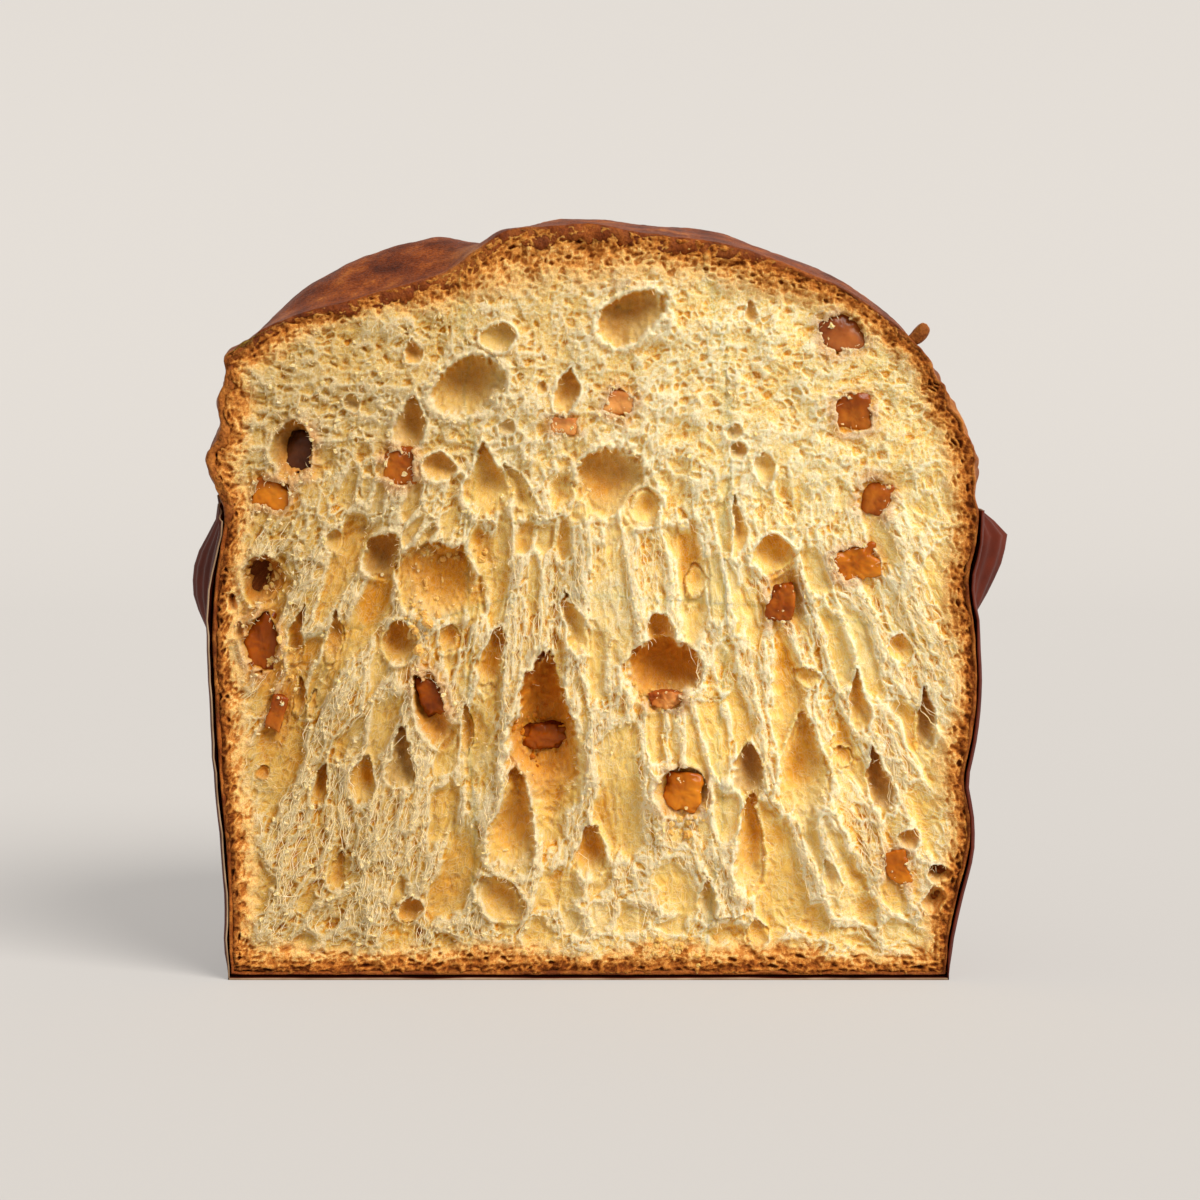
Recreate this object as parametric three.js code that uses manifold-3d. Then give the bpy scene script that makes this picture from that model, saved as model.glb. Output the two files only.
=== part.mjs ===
// Half of a tall panettone, cut from top to bottom and standing in its paper case.
// The loaf is a domed, slightly lopsided drum of sweet bread. The knife and a tear through the
// crumb leave a rough face with bubbles in it, and pieces of candied peel that sit in the bubbles.
// Millimetres. +Z is up, and the cut face looks along -Y.

import * as THREE from 'three';
import { ParametricGeometry } from 'three/addons/geometries/ParametricGeometry.js';
import { mergeVertices } from 'three/addons/utils/BufferGeometryUtils.js';
import Module from 'manifold-3d';

const wasm = await Module();
wasm.setup();

// Driving dimensions
const paperThickness = 0.8; // fluted baking paper
const clearance = 0.35; // between pieces that touch
const footHeight = paperThickness + clearance; // underside of the bread
const caseHeight = 108;
const cutOffset = 10; // the knife passed this far in front of the loaf's axis
const lobeRise = 10; // how far the back left lobe stands above the cut edge
const rightLobeRise = 2.5;
const scoreX = -23; // where the scored fold between the two lobes meets the cut
const scoreSlant = 0.16;
const scoreDepth = 3;
const scoreWidth = 8;
const crownPuckers = 0.7; // height of the uneven skin of the dome
const wallWrinkles = 1.9; // depth of the wrinkles in the crust between the case and the dome
const flutePitch = 6;
const fluteDepth = 0.7;
const flareRight = 5.4; // how far the paper stands off the bread under its rim on the right
const flareLeft = 3.4;
const rimWander = 1.1; // unevenness of the paper's cut rim
const tearDepth = 1.5; // unevenness of the torn face

// Resolution of the faceted surfaces
const loafSteps = 64;
const loafRings = 38;
const tearColumn = 5.2; // spacing across the torn face
const tearRow = 8.6; // spacing up it, where the tears run
const bubbleSteps = 10; // round a small bubble
const largeBubbleSteps = 13;

// Outline of the bread in the cut, from the foot's centre to the crown: distance from the axis
// and height, one list for each side, with matching stations.
const leftStations = [
  [0, footHeight], [42, footHeight], [80, footHeight], [82.4, 3], [82.8, 10], [82.8, 20],
  [83.3, 31], [83.9, 38], [84.6, 47], [85.2, 57], [85.6, 68], [86, 80], [85.2, 92],
  [83.8, 101], [83, 108], [84.7, 114], [87.4, 120], [83.6, 127], [84.5, 134], [82.6, 140],
  [82.4, 144.5], [77.2, 147.5], [72.8, 150.3], [66.2, 153.4], [58.4, 155.6], [49.6, 158],
  [40.8, 160.4], [32.6, 163.6], [26.6, 168], [21.2, 171.6], [15.8, 172.8], [8, 173.2], [0, 173.6],
];
const rightStations = [
  [0, footHeight], [42, footHeight], [80, footHeight], [82.6, 3], [83.2, 10], [85.2, 20],
  [87.8, 31], [87.8, 38], [86.4, 47], [88.2, 57], [89.2, 67], [88.6, 80], [87, 92],
  [88.6, 101], [89.2, 108], [87.8, 114], [87.9, 120], [85.4, 127], [83, 132.5], [80.8, 138.5],
  [75.6, 145], [71.4, 150], [65.5, 155], [59.4, 158.8], [53, 161.8], [46, 164.6],
  [39.6, 167], [32.8, 169.2], [26.2, 170.4], [20, 171.2], [13.4, 172.4], [6.6, 173.2], [0, 173.6],
];

// Bubbles that open in the cut: centre, width, height and depth, with the tilt of the long side
// in degrees (positive leans the top to the right).
const bubbles = [
  { x: -27, z: 136.5, width: 17, height: 13.5, depth: 9, tilt: -20 },
  { x: 9.5, z: 152.5, width: 18, height: 11, depth: 8, tilt: -25 },
  { x: -40.5, z: 129, width: 7, height: 13, depth: 7, tilt: 10 },
  { x: -33, z: 118, width: 7, height: 6, depth: 5, tilt: 0 },
  { x: -23, z: 115, width: 9.5, height: 18, depth: 7, tilt: -8 },
  { x: -5, z: 135.5, width: 6, height: 10, depth: 5, tilt: 15 },
  { x: 5, z: 114.5, width: 16, height: 15, depth: 8, tilt: -25 },
  { x: -47, z: 98, width: 9, height: 11, depth: 6, tilt: 10 },
  { x: -67.5, z: 123, width: 9, height: 14, depth: 8, tilt: 5 },
  { x: -34, z: 92, width: 19, height: 19, depth: 8, tilt: 0 },
  { x: 34.5, z: 121, width: 5, height: 6, depth: 4, tilt: 0 },
  { x: 42, z: 98, width: 9.5, height: 8, depth: 5, tilt: 0 },
  { x: -75, z: 86, width: 11, height: 26, depth: 10, tilt: 6 },
  { x: -66.5, z: 78, width: 5, height: 15, depth: 6, tilt: 5 },
  { x: -36.5, z: 63, width: 7, height: 19, depth: 8, tilt: -22 },
  { x: -10.5, z: 59, width: 16, height: 38, depth: 13, tilt: 2 },
  { x: -17, z: 36, width: 11, height: 24, depth: 8, tilt: 4 },
  { x: 0.5, z: 30, width: 8, height: 16, depth: 7, tilt: 0 },
  { x: -52, z: 46.5, width: 7, height: 12, depth: 5, tilt: 10 },
  { x: -22.5, z: 74, width: 6.5, height: 17, depth: 5, tilt: 12 },
  { x: -20, z: 19, width: 13, height: 9, depth: 5, tilt: 25 },
  { x: 17.5, z: 72, width: 18.5, height: 17, depth: 12, tilt: 0 },
  { x: 36.5, z: 49, width: 7, height: 14, depth: 7, tilt: -4 },
  { x: 50, z: 48, width: 11, height: 24, depth: 5, tilt: 0 },
  { x: 67, z: 46.5, width: 5, height: 16, depth: 7, tilt: -8 },
  { x: 78, z: 58, width: 5, height: 14, depth: 7, tilt: -6 },
  { x: 71.5, z: 77, width: 6, height: 9, depth: 4, tilt: 0 },
  { x: 38, z: 31, width: 8, height: 22, depth: 6, tilt: 3 },
  { x: 82, z: 24, width: 6, height: 4.5, depth: 6, tilt: 0 },
  { x: 84.5, z: 78, width: 7, height: 15, depth: 6, tilt: -4 },
];

// Candied pieces in the cut: centre, size and tilt as above, and how far the piece's middle lies
// behind the cut.
const candiedPieces = [
  { name: 'peel_top_right', x: 58, z: 149, width: 9.6, height: 10.6, depth: 8, tilt: -18, sunk: 2.6 },
  { name: 'peel_right_upper', x: 60.5, z: 130.6, width: 9.2, height: 8.6, depth: 8, tilt: -8, sunk: 2.6 },
  { name: 'peel_right_middle', x: 65.6, z: 111.6, width: 8, height: 9, depth: 8, tilt: 20, sunk: 2.8 },
  { name: 'peel_right_lower', x: 61.8, z: 96.4, width: 11, height: 8, depth: 8, tilt: -12, sunk: 3.4 },
  { name: 'peel_right_amber', x: 44, z: 87.6, width: 6.6, height: 10, depth: 7, tilt: 8, sunk: 3 },
  { name: 'peel_centre_rose', x: 7.2, z: 132.8, width: 6.4, height: 6.8, depth: 6, tilt: 24, sunk: 2 },
  { name: 'peel_centre_small', x: -5.8, z: 128, width: 6.4, height: 3.8, depth: 5, tilt: 4, sunk: 2 },
  { name: 'peel_left_jelly', x: -42.8, z: 118.4, width: 7.6, height: 8.8, depth: 7, tilt: -6, sunk: 2.8 },
  { name: 'peel_left_crust', x: -72.6, z: 112.4, width: 10, height: 7.4, depth: 7, tilt: 8, sunk: 2.6 },
  { name: 'peel_left_side', x: -75, z: 77.4, width: 8, height: 14, depth: 6, tilt: -4, sunk: 6.2 },
  { name: 'peel_left_pale', x: -71.6, z: 62, width: 4, height: 9, depth: 5, tilt: 16, sunk: 1.8 },
  { name: 'peel_left_streak', x: -36.4, z: 66.6, width: 6, height: 11, depth: 5, tilt: -22, sunk: 5 },
  { name: 'peel_hollow_orange', x: -10.6, z: 55.6, width: 11, height: 6.4, depth: 6, tilt: 4, sunk: 9.2 },
  { name: 'peel_hollow_rim', x: 17.8, z: 64.6, width: 8.6, height: 4.6, depth: 6, tilt: 4, sunk: 2.2 },
  { name: 'peel_low_rose', x: 21.6, z: 43.4, width: 9.4, height: 9.4, depth: 7, tilt: 10, sunk: 2.8 },
  { name: 'peel_right_foot', x: 71.4, z: 25.4, width: 5.4, height: 9, depth: 6, tilt: -14, sunk: 2.6 },
  { name: 'raisin_left', x: -66, z: 121.6, width: 6, height: 10, depth: 6, tilt: 4, sunk: 6 },
];

// Smoothly rising from 0 at low to 1 at high, or falling from 1 to 0
function rising(low, high, value) {
  return THREE.MathUtils.smoothstep(value, low, high);
}

function falling(low, high, value) {
  return 1 - rising(low, high, value);
}

// A repeatable random number from 0 to 1 for a whole-numbered place
function hash(i, j, k) {
  const mixed = Math.sin(i * 127.1 + j * 311.7 + k * 74.7) * 43758.5453;
  return mixed - Math.floor(mixed);
}

// Smooth random field from -1 to 1, with bumps about one unit across
function noise(x, y, z) {
  const [i, j, k] = [Math.floor(x), Math.floor(y), Math.floor(z)];
  const [fx, fy, fz] = [rising(0, 1, x - i), rising(0, 1, y - j), rising(0, 1, z - k)];
  let sum = 0;
  for (let corner = 0; corner < 8; corner++) {
    const [a, b, c] = [corner & 1, (corner >> 1) & 1, corner >> 2];
    const share = (a ? fx : 1 - fx) * (b ? fy : 1 - fy) * (c ? fz : 1 - fz);
    sum += share * hash(i + a, j + b, k + c);
  }
  return 2 * sum - 1;
}

// A closed geometry as a solid: vertices merged by position, and triangles without area dropped
function solidFrom(geometry) {
  const bare = geometry.clone();
  bare.deleteAttribute('normal');
  bare.deleteAttribute('uv');
  const welded = mergeVertices(bare, 1e-3);
  const index = [...welded.index.array];
  const triangles = [];
  for (let i = 0; i < index.length; i += 3) {
    const [a, b, c] = index.slice(i, i + 3);
    if (a !== b && b !== c && c !== a) triangles.push(a, b, c);
  }
  return new wasm.Manifold(new wasm.Mesh({
    numProp: 3,
    vertProperties: new Float32Array(welded.attributes.position.array),
    triVerts: new Uint32Array(triangles),
  }));
}

// A solid as a named mesh of the model
function meshFrom(solid, name, material) {
  const { vertProperties, triVerts } = solid.getMesh();
  const geometry = new THREE.BufferGeometry();
  geometry.setAttribute('position', new THREE.BufferAttribute(vertProperties, 3));
  geometry.setIndex(new THREE.BufferAttribute(triVerts, 1));
  geometry.computeVertexNormals();
  const mesh = new THREE.Mesh(geometry, material);
  mesh.name = name;
  return mesh;
}

// Moves every vertex of a geometry with a function of its place
function shapeVertices(geometry, move) {
  const place = new THREE.Vector3();
  const position = geometry.attributes.position;
  for (let i = 0; i < position.count; i++) {
    place.fromBufferAttribute(position, i);
    move(place);
    position.setXYZ(i, place.x, place.y, place.z);
  }
  return geometry;
}

// Loaf

const outline = (stations) => new THREE.SplineCurve(stations.map(([r, z]) => new THREE.Vector2(r, z)));
const leftOutline = outline(leftStations);
const rightOutline = outline(rightStations);
const stationCount = leftStations.length - 1;
const wallStart = 2 / stationCount; // where the outline turns up from the foot
const wallEnd = 15 / stationCount; // a little above the rim of the case

// Radius and height of the undecorated loaf: the two cut outlines, blended round the back
function loafProfile(angle, along) {
  const left = leftOutline.getPoint(along);
  const right = rightOutline.getPoint(along);
  const profile = left.lerp(right, rising(-1, 1, Math.cos(angle)));
  // The outline is measured in the cut, a little in front of the axis
  const wall = rising(60, 80, profile.x);
  profile.x = THREE.MathUtils.lerp(profile.x, Math.hypot(profile.x, cutOffset), wall);
  return profile;
}

// Height that the two scored lobes and the fold between them add to the dome
function lobeHeight(x, y, z) {
  const dome = rising(134, 152, z);
  const behindCut = y + cutOffset;
  const fold = scoreX + scoreSlant * behindCut;
  const rise = rising(1, 24, behindCut) * falling(54, 84, Math.hypot(x, y));
  const leftLobe = lobeRise * rise * falling(fold - 18, fold + 4, x);
  const rightLobe = rightLobeRise * rise * rising(fold, fold + 16, x);
  const groove = scoreDepth * Math.exp(-(((x - fold) / scoreWidth) ** 2)) * rising(6, 30, behindCut);
  return dome * (leftLobe + rightLobe - groove);
}

// Blisters and level wrinkles of the crust above the case, as a share of the radius
function crustRelief(x, y, z) {
  const blisters = noise(x / 13, y / 13, z / 9 + 5);
  const wrinkles = noise(x / 30, y / 30, z / 6 + 20) * falling(140, 150, z);
  return (wallWrinkles / 2) * rising(caseHeight - 2, caseHeight + 8, z) * (blisters + wrinkles) / 90;
}

function loafSurface(u, v, target) {
  const angle = 2 * Math.PI * u;
  const { x: profileRadius, y: height } = loafProfile(angle, v);
  const across = profileRadius * Math.cos(angle);
  const back = profileRadius * Math.sin(angle);
  const swell = 1 + crustRelief(across, back, height);
  const puckers = crownPuckers * rising(140, 160, height) * noise(across / 11, back / 11, 3);
  const lobes = lobeHeight(swell * across, swell * back, height);
  target.set(swell * across, swell * back, height + lobes + puckers);
}

// How far the torn crumb dips behind the cut: broad dents, and furrows where the strands pulled
function tornDepth(x, z) {
  const dents = noise(x / 14, 0.5, z / 17);
  const pulls = noise(x / 8, 7.5, z / 34) * falling(90, 130, z);
  return tearDepth * (0.7 * dents + pulls);
}

// The block that the knife takes away, with a rough side towards the loaf
function knifeBlock(roughness) {
  const [width, depth, height] = [236, 160, 208];
  const columns = roughness ? Math.round(width / tearColumn) : 1;
  const rows = roughness ? Math.round(height / tearRow) : 1;
  const block = new THREE.BoxGeometry(width, depth, height, columns, 1, rows);
  block.translate(0, -depth / 2, height / 2 - 12);
  return solidFrom(shapeVertices(block, (place) => {
    const front = place.y > -1;
    place.y += -cutOffset + (front ? roughness * tornDepth(place.x, place.z) : 0);
  }));
}

// An uneven bubble, half of it in front of the cut
function bubble({ x, z, width, height, depth, tilt }) {
  const steps = width * height > 120 ? largeBubbleSteps : bubbleSteps;
  const ball = new THREE.SphereGeometry(1, steps, Math.round(0.6 * steps));
  shapeVertices(ball, (place) => {
    place.multiplyScalar(1 + 0.13 * noise(place.x * 1.3 + x, place.y * 1.3, place.z * 1.3 + z));
    place.multiply(new THREE.Vector3(width / 2, depth, height / 2));
  });
  ball.rotateY(THREE.MathUtils.degToRad(tilt));
  ball.translate(x, -cutOffset, z);
  return solidFrom(ball);
}

// Candied peel: a soft-edged block, its corners pulled in and its sides a little uneven.
// Margin makes it larger on every side, for the pocket that it sits in.
function candiedBlock({ x, z, width, height, depth, tilt, sunk }, margin) {
  const block = new THREE.BoxGeometry(1, 1, 1, 2, 2, 2);
  shapeVertices(block, (place) => {
    const reach = 2 * Math.max(Math.abs(place.x), Math.abs(place.y), Math.abs(place.z));
    const corner = Math.abs(8 * place.x * place.y * place.z) ** 0.5;
    const uneven = 0.09 * noise(place.x * 2.2 + x, place.y * 2.2, place.z * 2.2 + z);
    place.multiplyScalar(reach * (1 - 0.17 * corner + uneven));
    place.multiply(new THREE.Vector3(width + 2 * margin, depth + 2 * margin, height + 2 * margin));
  });
  block.rotateY(THREE.MathUtils.degToRad(tilt));
  block.translate(x, -cutOffset + sunk, z);
  return solidFrom(block);
}

// A burst blister of crust that stands off the right shoulder, leaning outwards
function crustBlister() {
  const blister = new THREE.SphereGeometry(1, 10, 8);
  blister.scale(1.7, 3, 5.2);
  blister.rotateY(THREE.MathUtils.degToRad(36));
  blister.translate(74.2, -cutOffset + 4.6, 147.2);
  return solidFrom(blister);
}

function bread() {
  let solid = solidFrom(new ParametricGeometry(loafSurface, loafSteps, loafRings));
  solid = solid.add(crustBlister());
  solid = solid.subtract(knifeBlock(1));
  for (const place of bubbles) {
    solid = solid.subtract(bubble(place));
  }
  for (const piece of candiedPieces) {
    solid = solid.subtract(candiedBlock(piece, clearance));
  }
  return solid;
}

// Paper case

// Extra room that the paper leaves round the bread: a kinked bulge under the rim on the right and
// a softer one on the left
function paperBulge(angle, z) {
  const fromRight = THREE.MathUtils.radToDeg(Math.atan2(Math.sin(angle), Math.cos(angle)));
  const fromLeft = THREE.MathUtils.radToDeg(Math.atan2(Math.sin(angle), -Math.cos(angle)));
  const rightKink = Math.min(rising(74, 98, z), 1 - 0.9 * rising(101, caseHeight, z));
  const leftSwell = rising(70, 88, z) * (1 - 0.4 * rising(92, caseHeight, z));
  const rightBulge = flareRight * Math.exp(-(((fromRight - 6) / 13) ** 2)) * rightKink;
  const leftBulge = flareLeft * Math.exp(-((fromLeft / 18) ** 2)) * leftSwell;
  const slack = 0.5 * (1 + noise(2.5 * Math.cos(angle), 2.5 * Math.sin(angle), z / 30));
  return rightBulge + leftBulge + slack;
}

// Place along the loaf's outline at a height on its wall, found by halving
function wallShare(z) {
  let [low, high] = [wallStart, wallEnd];
  for (let i = 0; i < 24; i++) {
    const middle = (low + high) / 2;
    if (rightOutline.getPoint(middle).y < z) {
      low = middle;
    } else {
      high = middle;
    }
  }
  return low;
}

// Inside of the paper: clear of the bread at this height and just above it
function paperInnerRadius(angle, z) {
  const along = wallShare(z);
  const here = loafProfile(angle, along).x;
  const above = loafProfile(angle, Math.min(along + 0.4 / stationCount, wallEnd)).x;
  return Math.max(here, above) + clearance + 0.1 + paperBulge(angle, z);
}

// The case as one closed loop of stops carried round the axis: out along the underside, up the
// outer wall, down the inner wall and back along the floor
function paperCase() {
  const footRadius = leftStations[3][0];
  const flutes = Math.round(2 * Math.PI * (footRadius + 4) / flutePitch);
  const heights = [8, 36, 72, 90, 101, caseHeight];
  const loop = [
    { axis: true, z: 0 },
    { outer: true, z: 0 },
    ...heights.map((z) => ({ outer: true, z })),
    ...heights.toReversed().map((z) => ({ z })),
    { z: paperThickness },
    { axis: true, z: paperThickness },
  ];
  const stations = loop.length - 1;
  const surface = (u, v, target) => {
    const angle = 2 * Math.PI * u;
    const { axis, outer, z } = loop[Math.round(v * stations)];
    const crest = Math.round(u * 2 * flutes) % 2 === 1 && z > paperThickness;
    const wander = rimWander * noise(Math.cos(angle) * 3, Math.sin(angle) * 3, 0.5);
    const inner = paperInnerRadius(angle, Math.max(z, 4)) + (crest ? fluteDepth : 0);
    const radius = axis ? 0 : inner + (outer ? paperThickness : 0);
    target.set(radius * Math.cos(angle), radius * Math.sin(angle), z === caseHeight ? z + wander : z);
  };
  return solidFrom(new ParametricGeometry(surface, 2 * flutes, stations)).subtract(knifeBlock(0));
}

// Materials
const crumbMaterial = new THREE.MeshStandardMaterial({ color: 0xe9cf86, roughness: 0.85, metalness: 0 });
const paperMaterial = new THREE.MeshStandardMaterial({ color: 0x3a1a14, roughness: 0.5, metalness: 0 });
const candiedMaterial = new THREE.MeshStandardMaterial({ color: 0xb9672a, roughness: 0.35, metalness: 0 });
const raisinMaterial = new THREE.MeshStandardMaterial({ color: 0x4a2b22, roughness: 0.5, metalness: 0 });

// Assembly
const panettone = new THREE.Group();
panettone.add(meshFrom(bread(), 'bread', crumbMaterial));
panettone.add(meshFrom(paperCase(), 'paper_case', paperMaterial));
for (const piece of candiedPieces) {
  const material = piece.name.startsWith('raisin') ? raisinMaterial : candiedMaterial;
  panettone.add(meshFrom(candiedBlock(piece, 0), piece.name, material));
}

// The origin is under the middle of the half loaf, on the surface that it stands on
const bounds = new THREE.Box3().setFromObject(panettone);
const middle = bounds.getCenter(new THREE.Vector3());
panettone.position.set(-middle.x, -middle.y, -bounds.min.z);
panettone.updateMatrixWorld(true);

export default panettone;
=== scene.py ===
# %% [markdown]
# # Half a panettone in its paper case
# A tall sweet loaf, cut from top to bottom, stands in its fluted paper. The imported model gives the
# true size and place of every solid. This lesson replaces each one with a finished surface: torn
# crumb, baked crust, candied peel and paper.

# %% Load the frame
import math

import bpy
import numpy as np
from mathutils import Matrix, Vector


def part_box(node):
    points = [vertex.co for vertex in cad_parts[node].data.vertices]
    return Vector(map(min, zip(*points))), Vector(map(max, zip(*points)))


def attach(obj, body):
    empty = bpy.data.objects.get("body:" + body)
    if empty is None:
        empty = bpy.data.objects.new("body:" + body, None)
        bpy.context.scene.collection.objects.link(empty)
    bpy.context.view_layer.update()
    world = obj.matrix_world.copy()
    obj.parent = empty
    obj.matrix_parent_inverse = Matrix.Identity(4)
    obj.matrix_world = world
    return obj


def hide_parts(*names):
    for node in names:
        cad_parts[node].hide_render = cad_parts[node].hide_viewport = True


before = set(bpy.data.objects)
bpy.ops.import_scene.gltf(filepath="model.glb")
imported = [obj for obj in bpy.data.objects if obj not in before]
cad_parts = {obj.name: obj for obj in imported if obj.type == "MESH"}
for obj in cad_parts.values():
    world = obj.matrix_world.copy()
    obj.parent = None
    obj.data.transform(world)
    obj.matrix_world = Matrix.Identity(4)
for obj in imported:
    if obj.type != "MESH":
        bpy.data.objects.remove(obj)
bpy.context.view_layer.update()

# %% [markdown]
# ## The loaf's own millimetres
# The shapes are worked out in millimetres from the loaf's upright axis: x to the right, y to the
# back, z up, with the knife's plane a little in front of the axis. One function at the end moves
# them into the frame, so no piece has to be placed by hand.

# %% Units and driving sizes
MM = 0.001
CUT_OFFSET = 10.0  # the knife passed this far in front of the axis
AXIS_SHIFT_X = -2.42  # the case flares on the right, so the axis is left of the box's middle
FOOT = 1.15  # underside of the bread, on the paper
CASE_HEIGHT = 108.0
CROWN = 173.6
HEART = np.array([0.0, -CUT_OFFSET, 85.0])  # middle of the cut, from where the skin is measured
EDGE_RADIUS = 88.0  # turns an angle round the cut into millimetres along its edge

paper_low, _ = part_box("paper_case")
AXIS_SHIFT = np.array([AXIS_SHIFT_X, paper_low.y / MM + CUT_OFFSET, 0.0])
print("axis at", AXIS_SHIFT.round(2), "mm in the frame")

# Outline of the bread in the cut, foot to crown: distance from the axis and height
LEFT_STATIONS = np.array([
    [0, FOOT], [42, FOOT], [80, FOOT], [82.4, 3], [82.8, 10], [82.8, 20], [83.3, 31], [83.9, 38],
    [84.6, 47], [85.2, 57], [85.6, 68], [86, 80], [85.2, 92], [83.8, 101], [83, 108],
    [84.7, 114], [87.4, 120], [83.6, 127], [84.5, 134], [82.6, 140], [82.4, 144.5],
    [77.2, 147.5], [72.8, 150.3], [66.2, 153.4], [58.4, 155.6], [49.6, 158], [40.8, 160.4],
    [32.6, 163.6], [26.6, 168], [21.2, 171.6], [15.8, 172.8], [8, 173.2], [0, CROWN]])
RIGHT_STATIONS = np.array([
    [0, FOOT], [42, FOOT], [80, FOOT], [82.6, 3], [83.2, 10], [85.2, 20], [87.8, 31],
    [87.8, 38], [86.4, 47], [88.2, 57], [89.2, 67], [88.6, 80], [87, 92], [88.6, 101], [89.2, 108],
    [87.8, 114], [87.9, 120], [85.4, 127], [83, 132.5], [80.8, 138.5], [75.6, 145],
    [71.4, 150], [65.5, 155], [59.4, 158.8], [53, 161.8], [46, 164.6], [39.6, 167],
    [32.8, 169.2], [26.2, 170.4], [20, 171.2], [13.4, 172.4], [6.6, 173.2], [0, CROWN]])

# %% [markdown]
# ## Random fields
# Bread has no straight edge anywhere, so every surface needs noise. Two kinds are enough: smooth
# noise for wrinkles and dents, and cells, which are the bubbles of the dough. Both are worked out
# from whole-number places with a fixed rule, so each run gives the same loaf.

# %% Ramps and smooth noise
def rising(low, high, value):
    """0 below low, 1 above high, and the curve 3t^2 - 2t^3 between them."""
    t = np.clip((np.asarray(value, float) - low) / (high - low), 0, 1)
    return t * t * (3 - 2 * t)


def falling(low, high, value):
    """1 below low and 0 above high."""
    return 1 - rising(low, high, value)


def scatter(i, j, k):
    """A repeatable number from 0 to 1 for a whole-numbered place: the fraction of a large sine."""
    mixed = np.sin(i * 127.1 + j * 311.7 + k * 74.7) * 43758.5453
    return mixed - np.floor(mixed)


def noise(x, y, z):
    """Smooth field from -1 to 1: random numbers on a unit lattice, blended by smooth ramps."""
    x, y, z = np.broadcast_arrays(*(np.asarray(v, float) for v in (x, y, z)))
    i, j, k = np.floor(x), np.floor(y), np.floor(z)
    ramps = [rising(0, 1, value - floor) for value, floor in ((x, i), (y, j), (z, k))]
    total = np.zeros(x.shape)
    for corner in range(8):
        steps = (corner & 1, (corner >> 1) & 1, corner >> 2)
        share = 1.0
        for step, ramp in zip(steps, ramps):
            share = share * (ramp if step else 1 - ramp)
        total += share * scatter(i + steps[0], j + steps[1], k + steps[2])
    return 2 * total - 1


# %% Cells
def cells(a, b, layer):
    """Bubbles of one size: one centre wanders in each unit square. Returns how far a place is from
    the wall between its two nearest centres, a random number that belongs to its bubble, and the
    height of the place over the bubble's centre."""
    i, j = np.floor(a), np.floor(b)
    near = np.full(a.shape, 9.0)
    far = np.full(a.shape, 9.0)
    own, above = np.zeros(a.shape), np.zeros(a.shape)
    for step in range(9):
        ci, cj = i + step % 3 - 1, j + step // 3 - 1
        across = ci + 0.1 + 0.8 * scatter(ci, cj, layer) - a
        along = cj + 0.1 + 0.8 * scatter(ci, cj, layer + 40) - b
        reach = np.hypot(across, along)
        closer = reach < near
        far = np.where(closer, near, np.minimum(far, reach))
        own = np.where(closer, scatter(ci, cj, layer + 80), own)
        above = np.where(closer, -along, above)
        near = np.minimum(near, reach)
    return far - near, own, above


# %% [markdown]
# ## The skin of the loaf
# A polar grid round the axis would be cut off raggedly by the knife. Rays from the heart of the
# cut are better: they leave in every direction towards the back, and each one meets the skin once.
# The rays that lie in the knife's plane draw the outline, so crumb and crust share one edge.

# %% Profile of the undecorated loaf
def smooth_stations(stations, count=1600):
    """Catmull-Rom curve through the stations: a cubic between neighbours whose slope at each one
    is half the step from the one before to the one after."""
    place = np.linspace(0, len(stations) - 1, count)
    i = np.minimum(place.astype(int), len(stations) - 2)
    t = (place - i)[:, None]
    before, here = stations[np.maximum(i - 1, 0)], stations[i]
    after, last = stations[i + 1], stations[np.minimum(i + 2, len(stations) - 1)]
    v0, v1 = (after - before) / 2, (last - here) / 2
    return ((2 * here - 2 * after + v0 + v1) * t**3 + (3 * after - 3 * here - 2 * v0 - v1) * t**2
            + v0 * t + here)


def radius_table(stations):
    """Distance from the axis as a function of height, for one side of the loaf."""
    curve = smooth_stations(stations)
    curve = curve[curve[:, 1] > FOOT + 0.02]
    order = np.argsort(curve[:, 1])
    return curve[order, 1], curve[order, 0]


LEFT_TABLE, RIGHT_TABLE = radius_table(LEFT_STATIONS), radius_table(RIGHT_STATIONS)


def loaf_radius(cosine, z):
    """Left and right outlines, blended round the back by the cosine of the angle. The outline is
    measured in the cut, so a wall's distance from the axis also counts the knife's offset."""
    left, right = np.interp(z, *LEFT_TABLE), np.interp(z, *RIGHT_TABLE)
    radius = left + (right - left) * rising(-1, 1, cosine)
    wall = rising(60, 80, radius)
    return radius + wall * (np.hypot(radius, CUT_OFFSET) - radius)


def fold_line(behind):
    """Where the fold between the two lobes runs, as x, at a distance behind the cut."""
    return -23 + 0.16 * behind


def lobe_height(x, y, z):
    """Height that the two scored lobes add to the dome, less the fold between them."""
    dome = rising(136, 156, z)
    behind = y + CUT_OFFSET
    fold = fold_line(behind)
    rise = rising(1, 24, behind) * falling(54, 84, np.hypot(x, y))
    left = 10 * rise * falling(fold - 18, fold + 2, x)
    right = 2.5 * rise * rising(fold, fold + 16, x)
    groove = 3.4 * np.exp(-(((x - fold) / 6) ** 2)) * rising(4, 26, behind)
    return dome * (left + right - groove)


def inside_loaf(x, y, z):
    """Whether places lie in the loaf: between foot and crown, and nearer the axis than its wall."""
    base = z - lobe_height(x, y, z)
    reach = np.hypot(x, y)
    cosine = x / np.maximum(reach, 1e-6)
    return (z > FOOT) & (base < CROWN) & (reach < loaf_radius(cosine, np.minimum(base, CROWN)))


# %% Rays from the heart to the skin
def ray_directions(round_angle, lift):
    """Unit vectors: round_angle turns in the cut from +X towards +Z, lift tips them to the back."""
    flat = np.cos(lift)
    return np.stack([flat * np.cos(round_angle), np.sin(lift) + 0 * round_angle,
                     flat * np.sin(round_angle)], -1)


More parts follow.
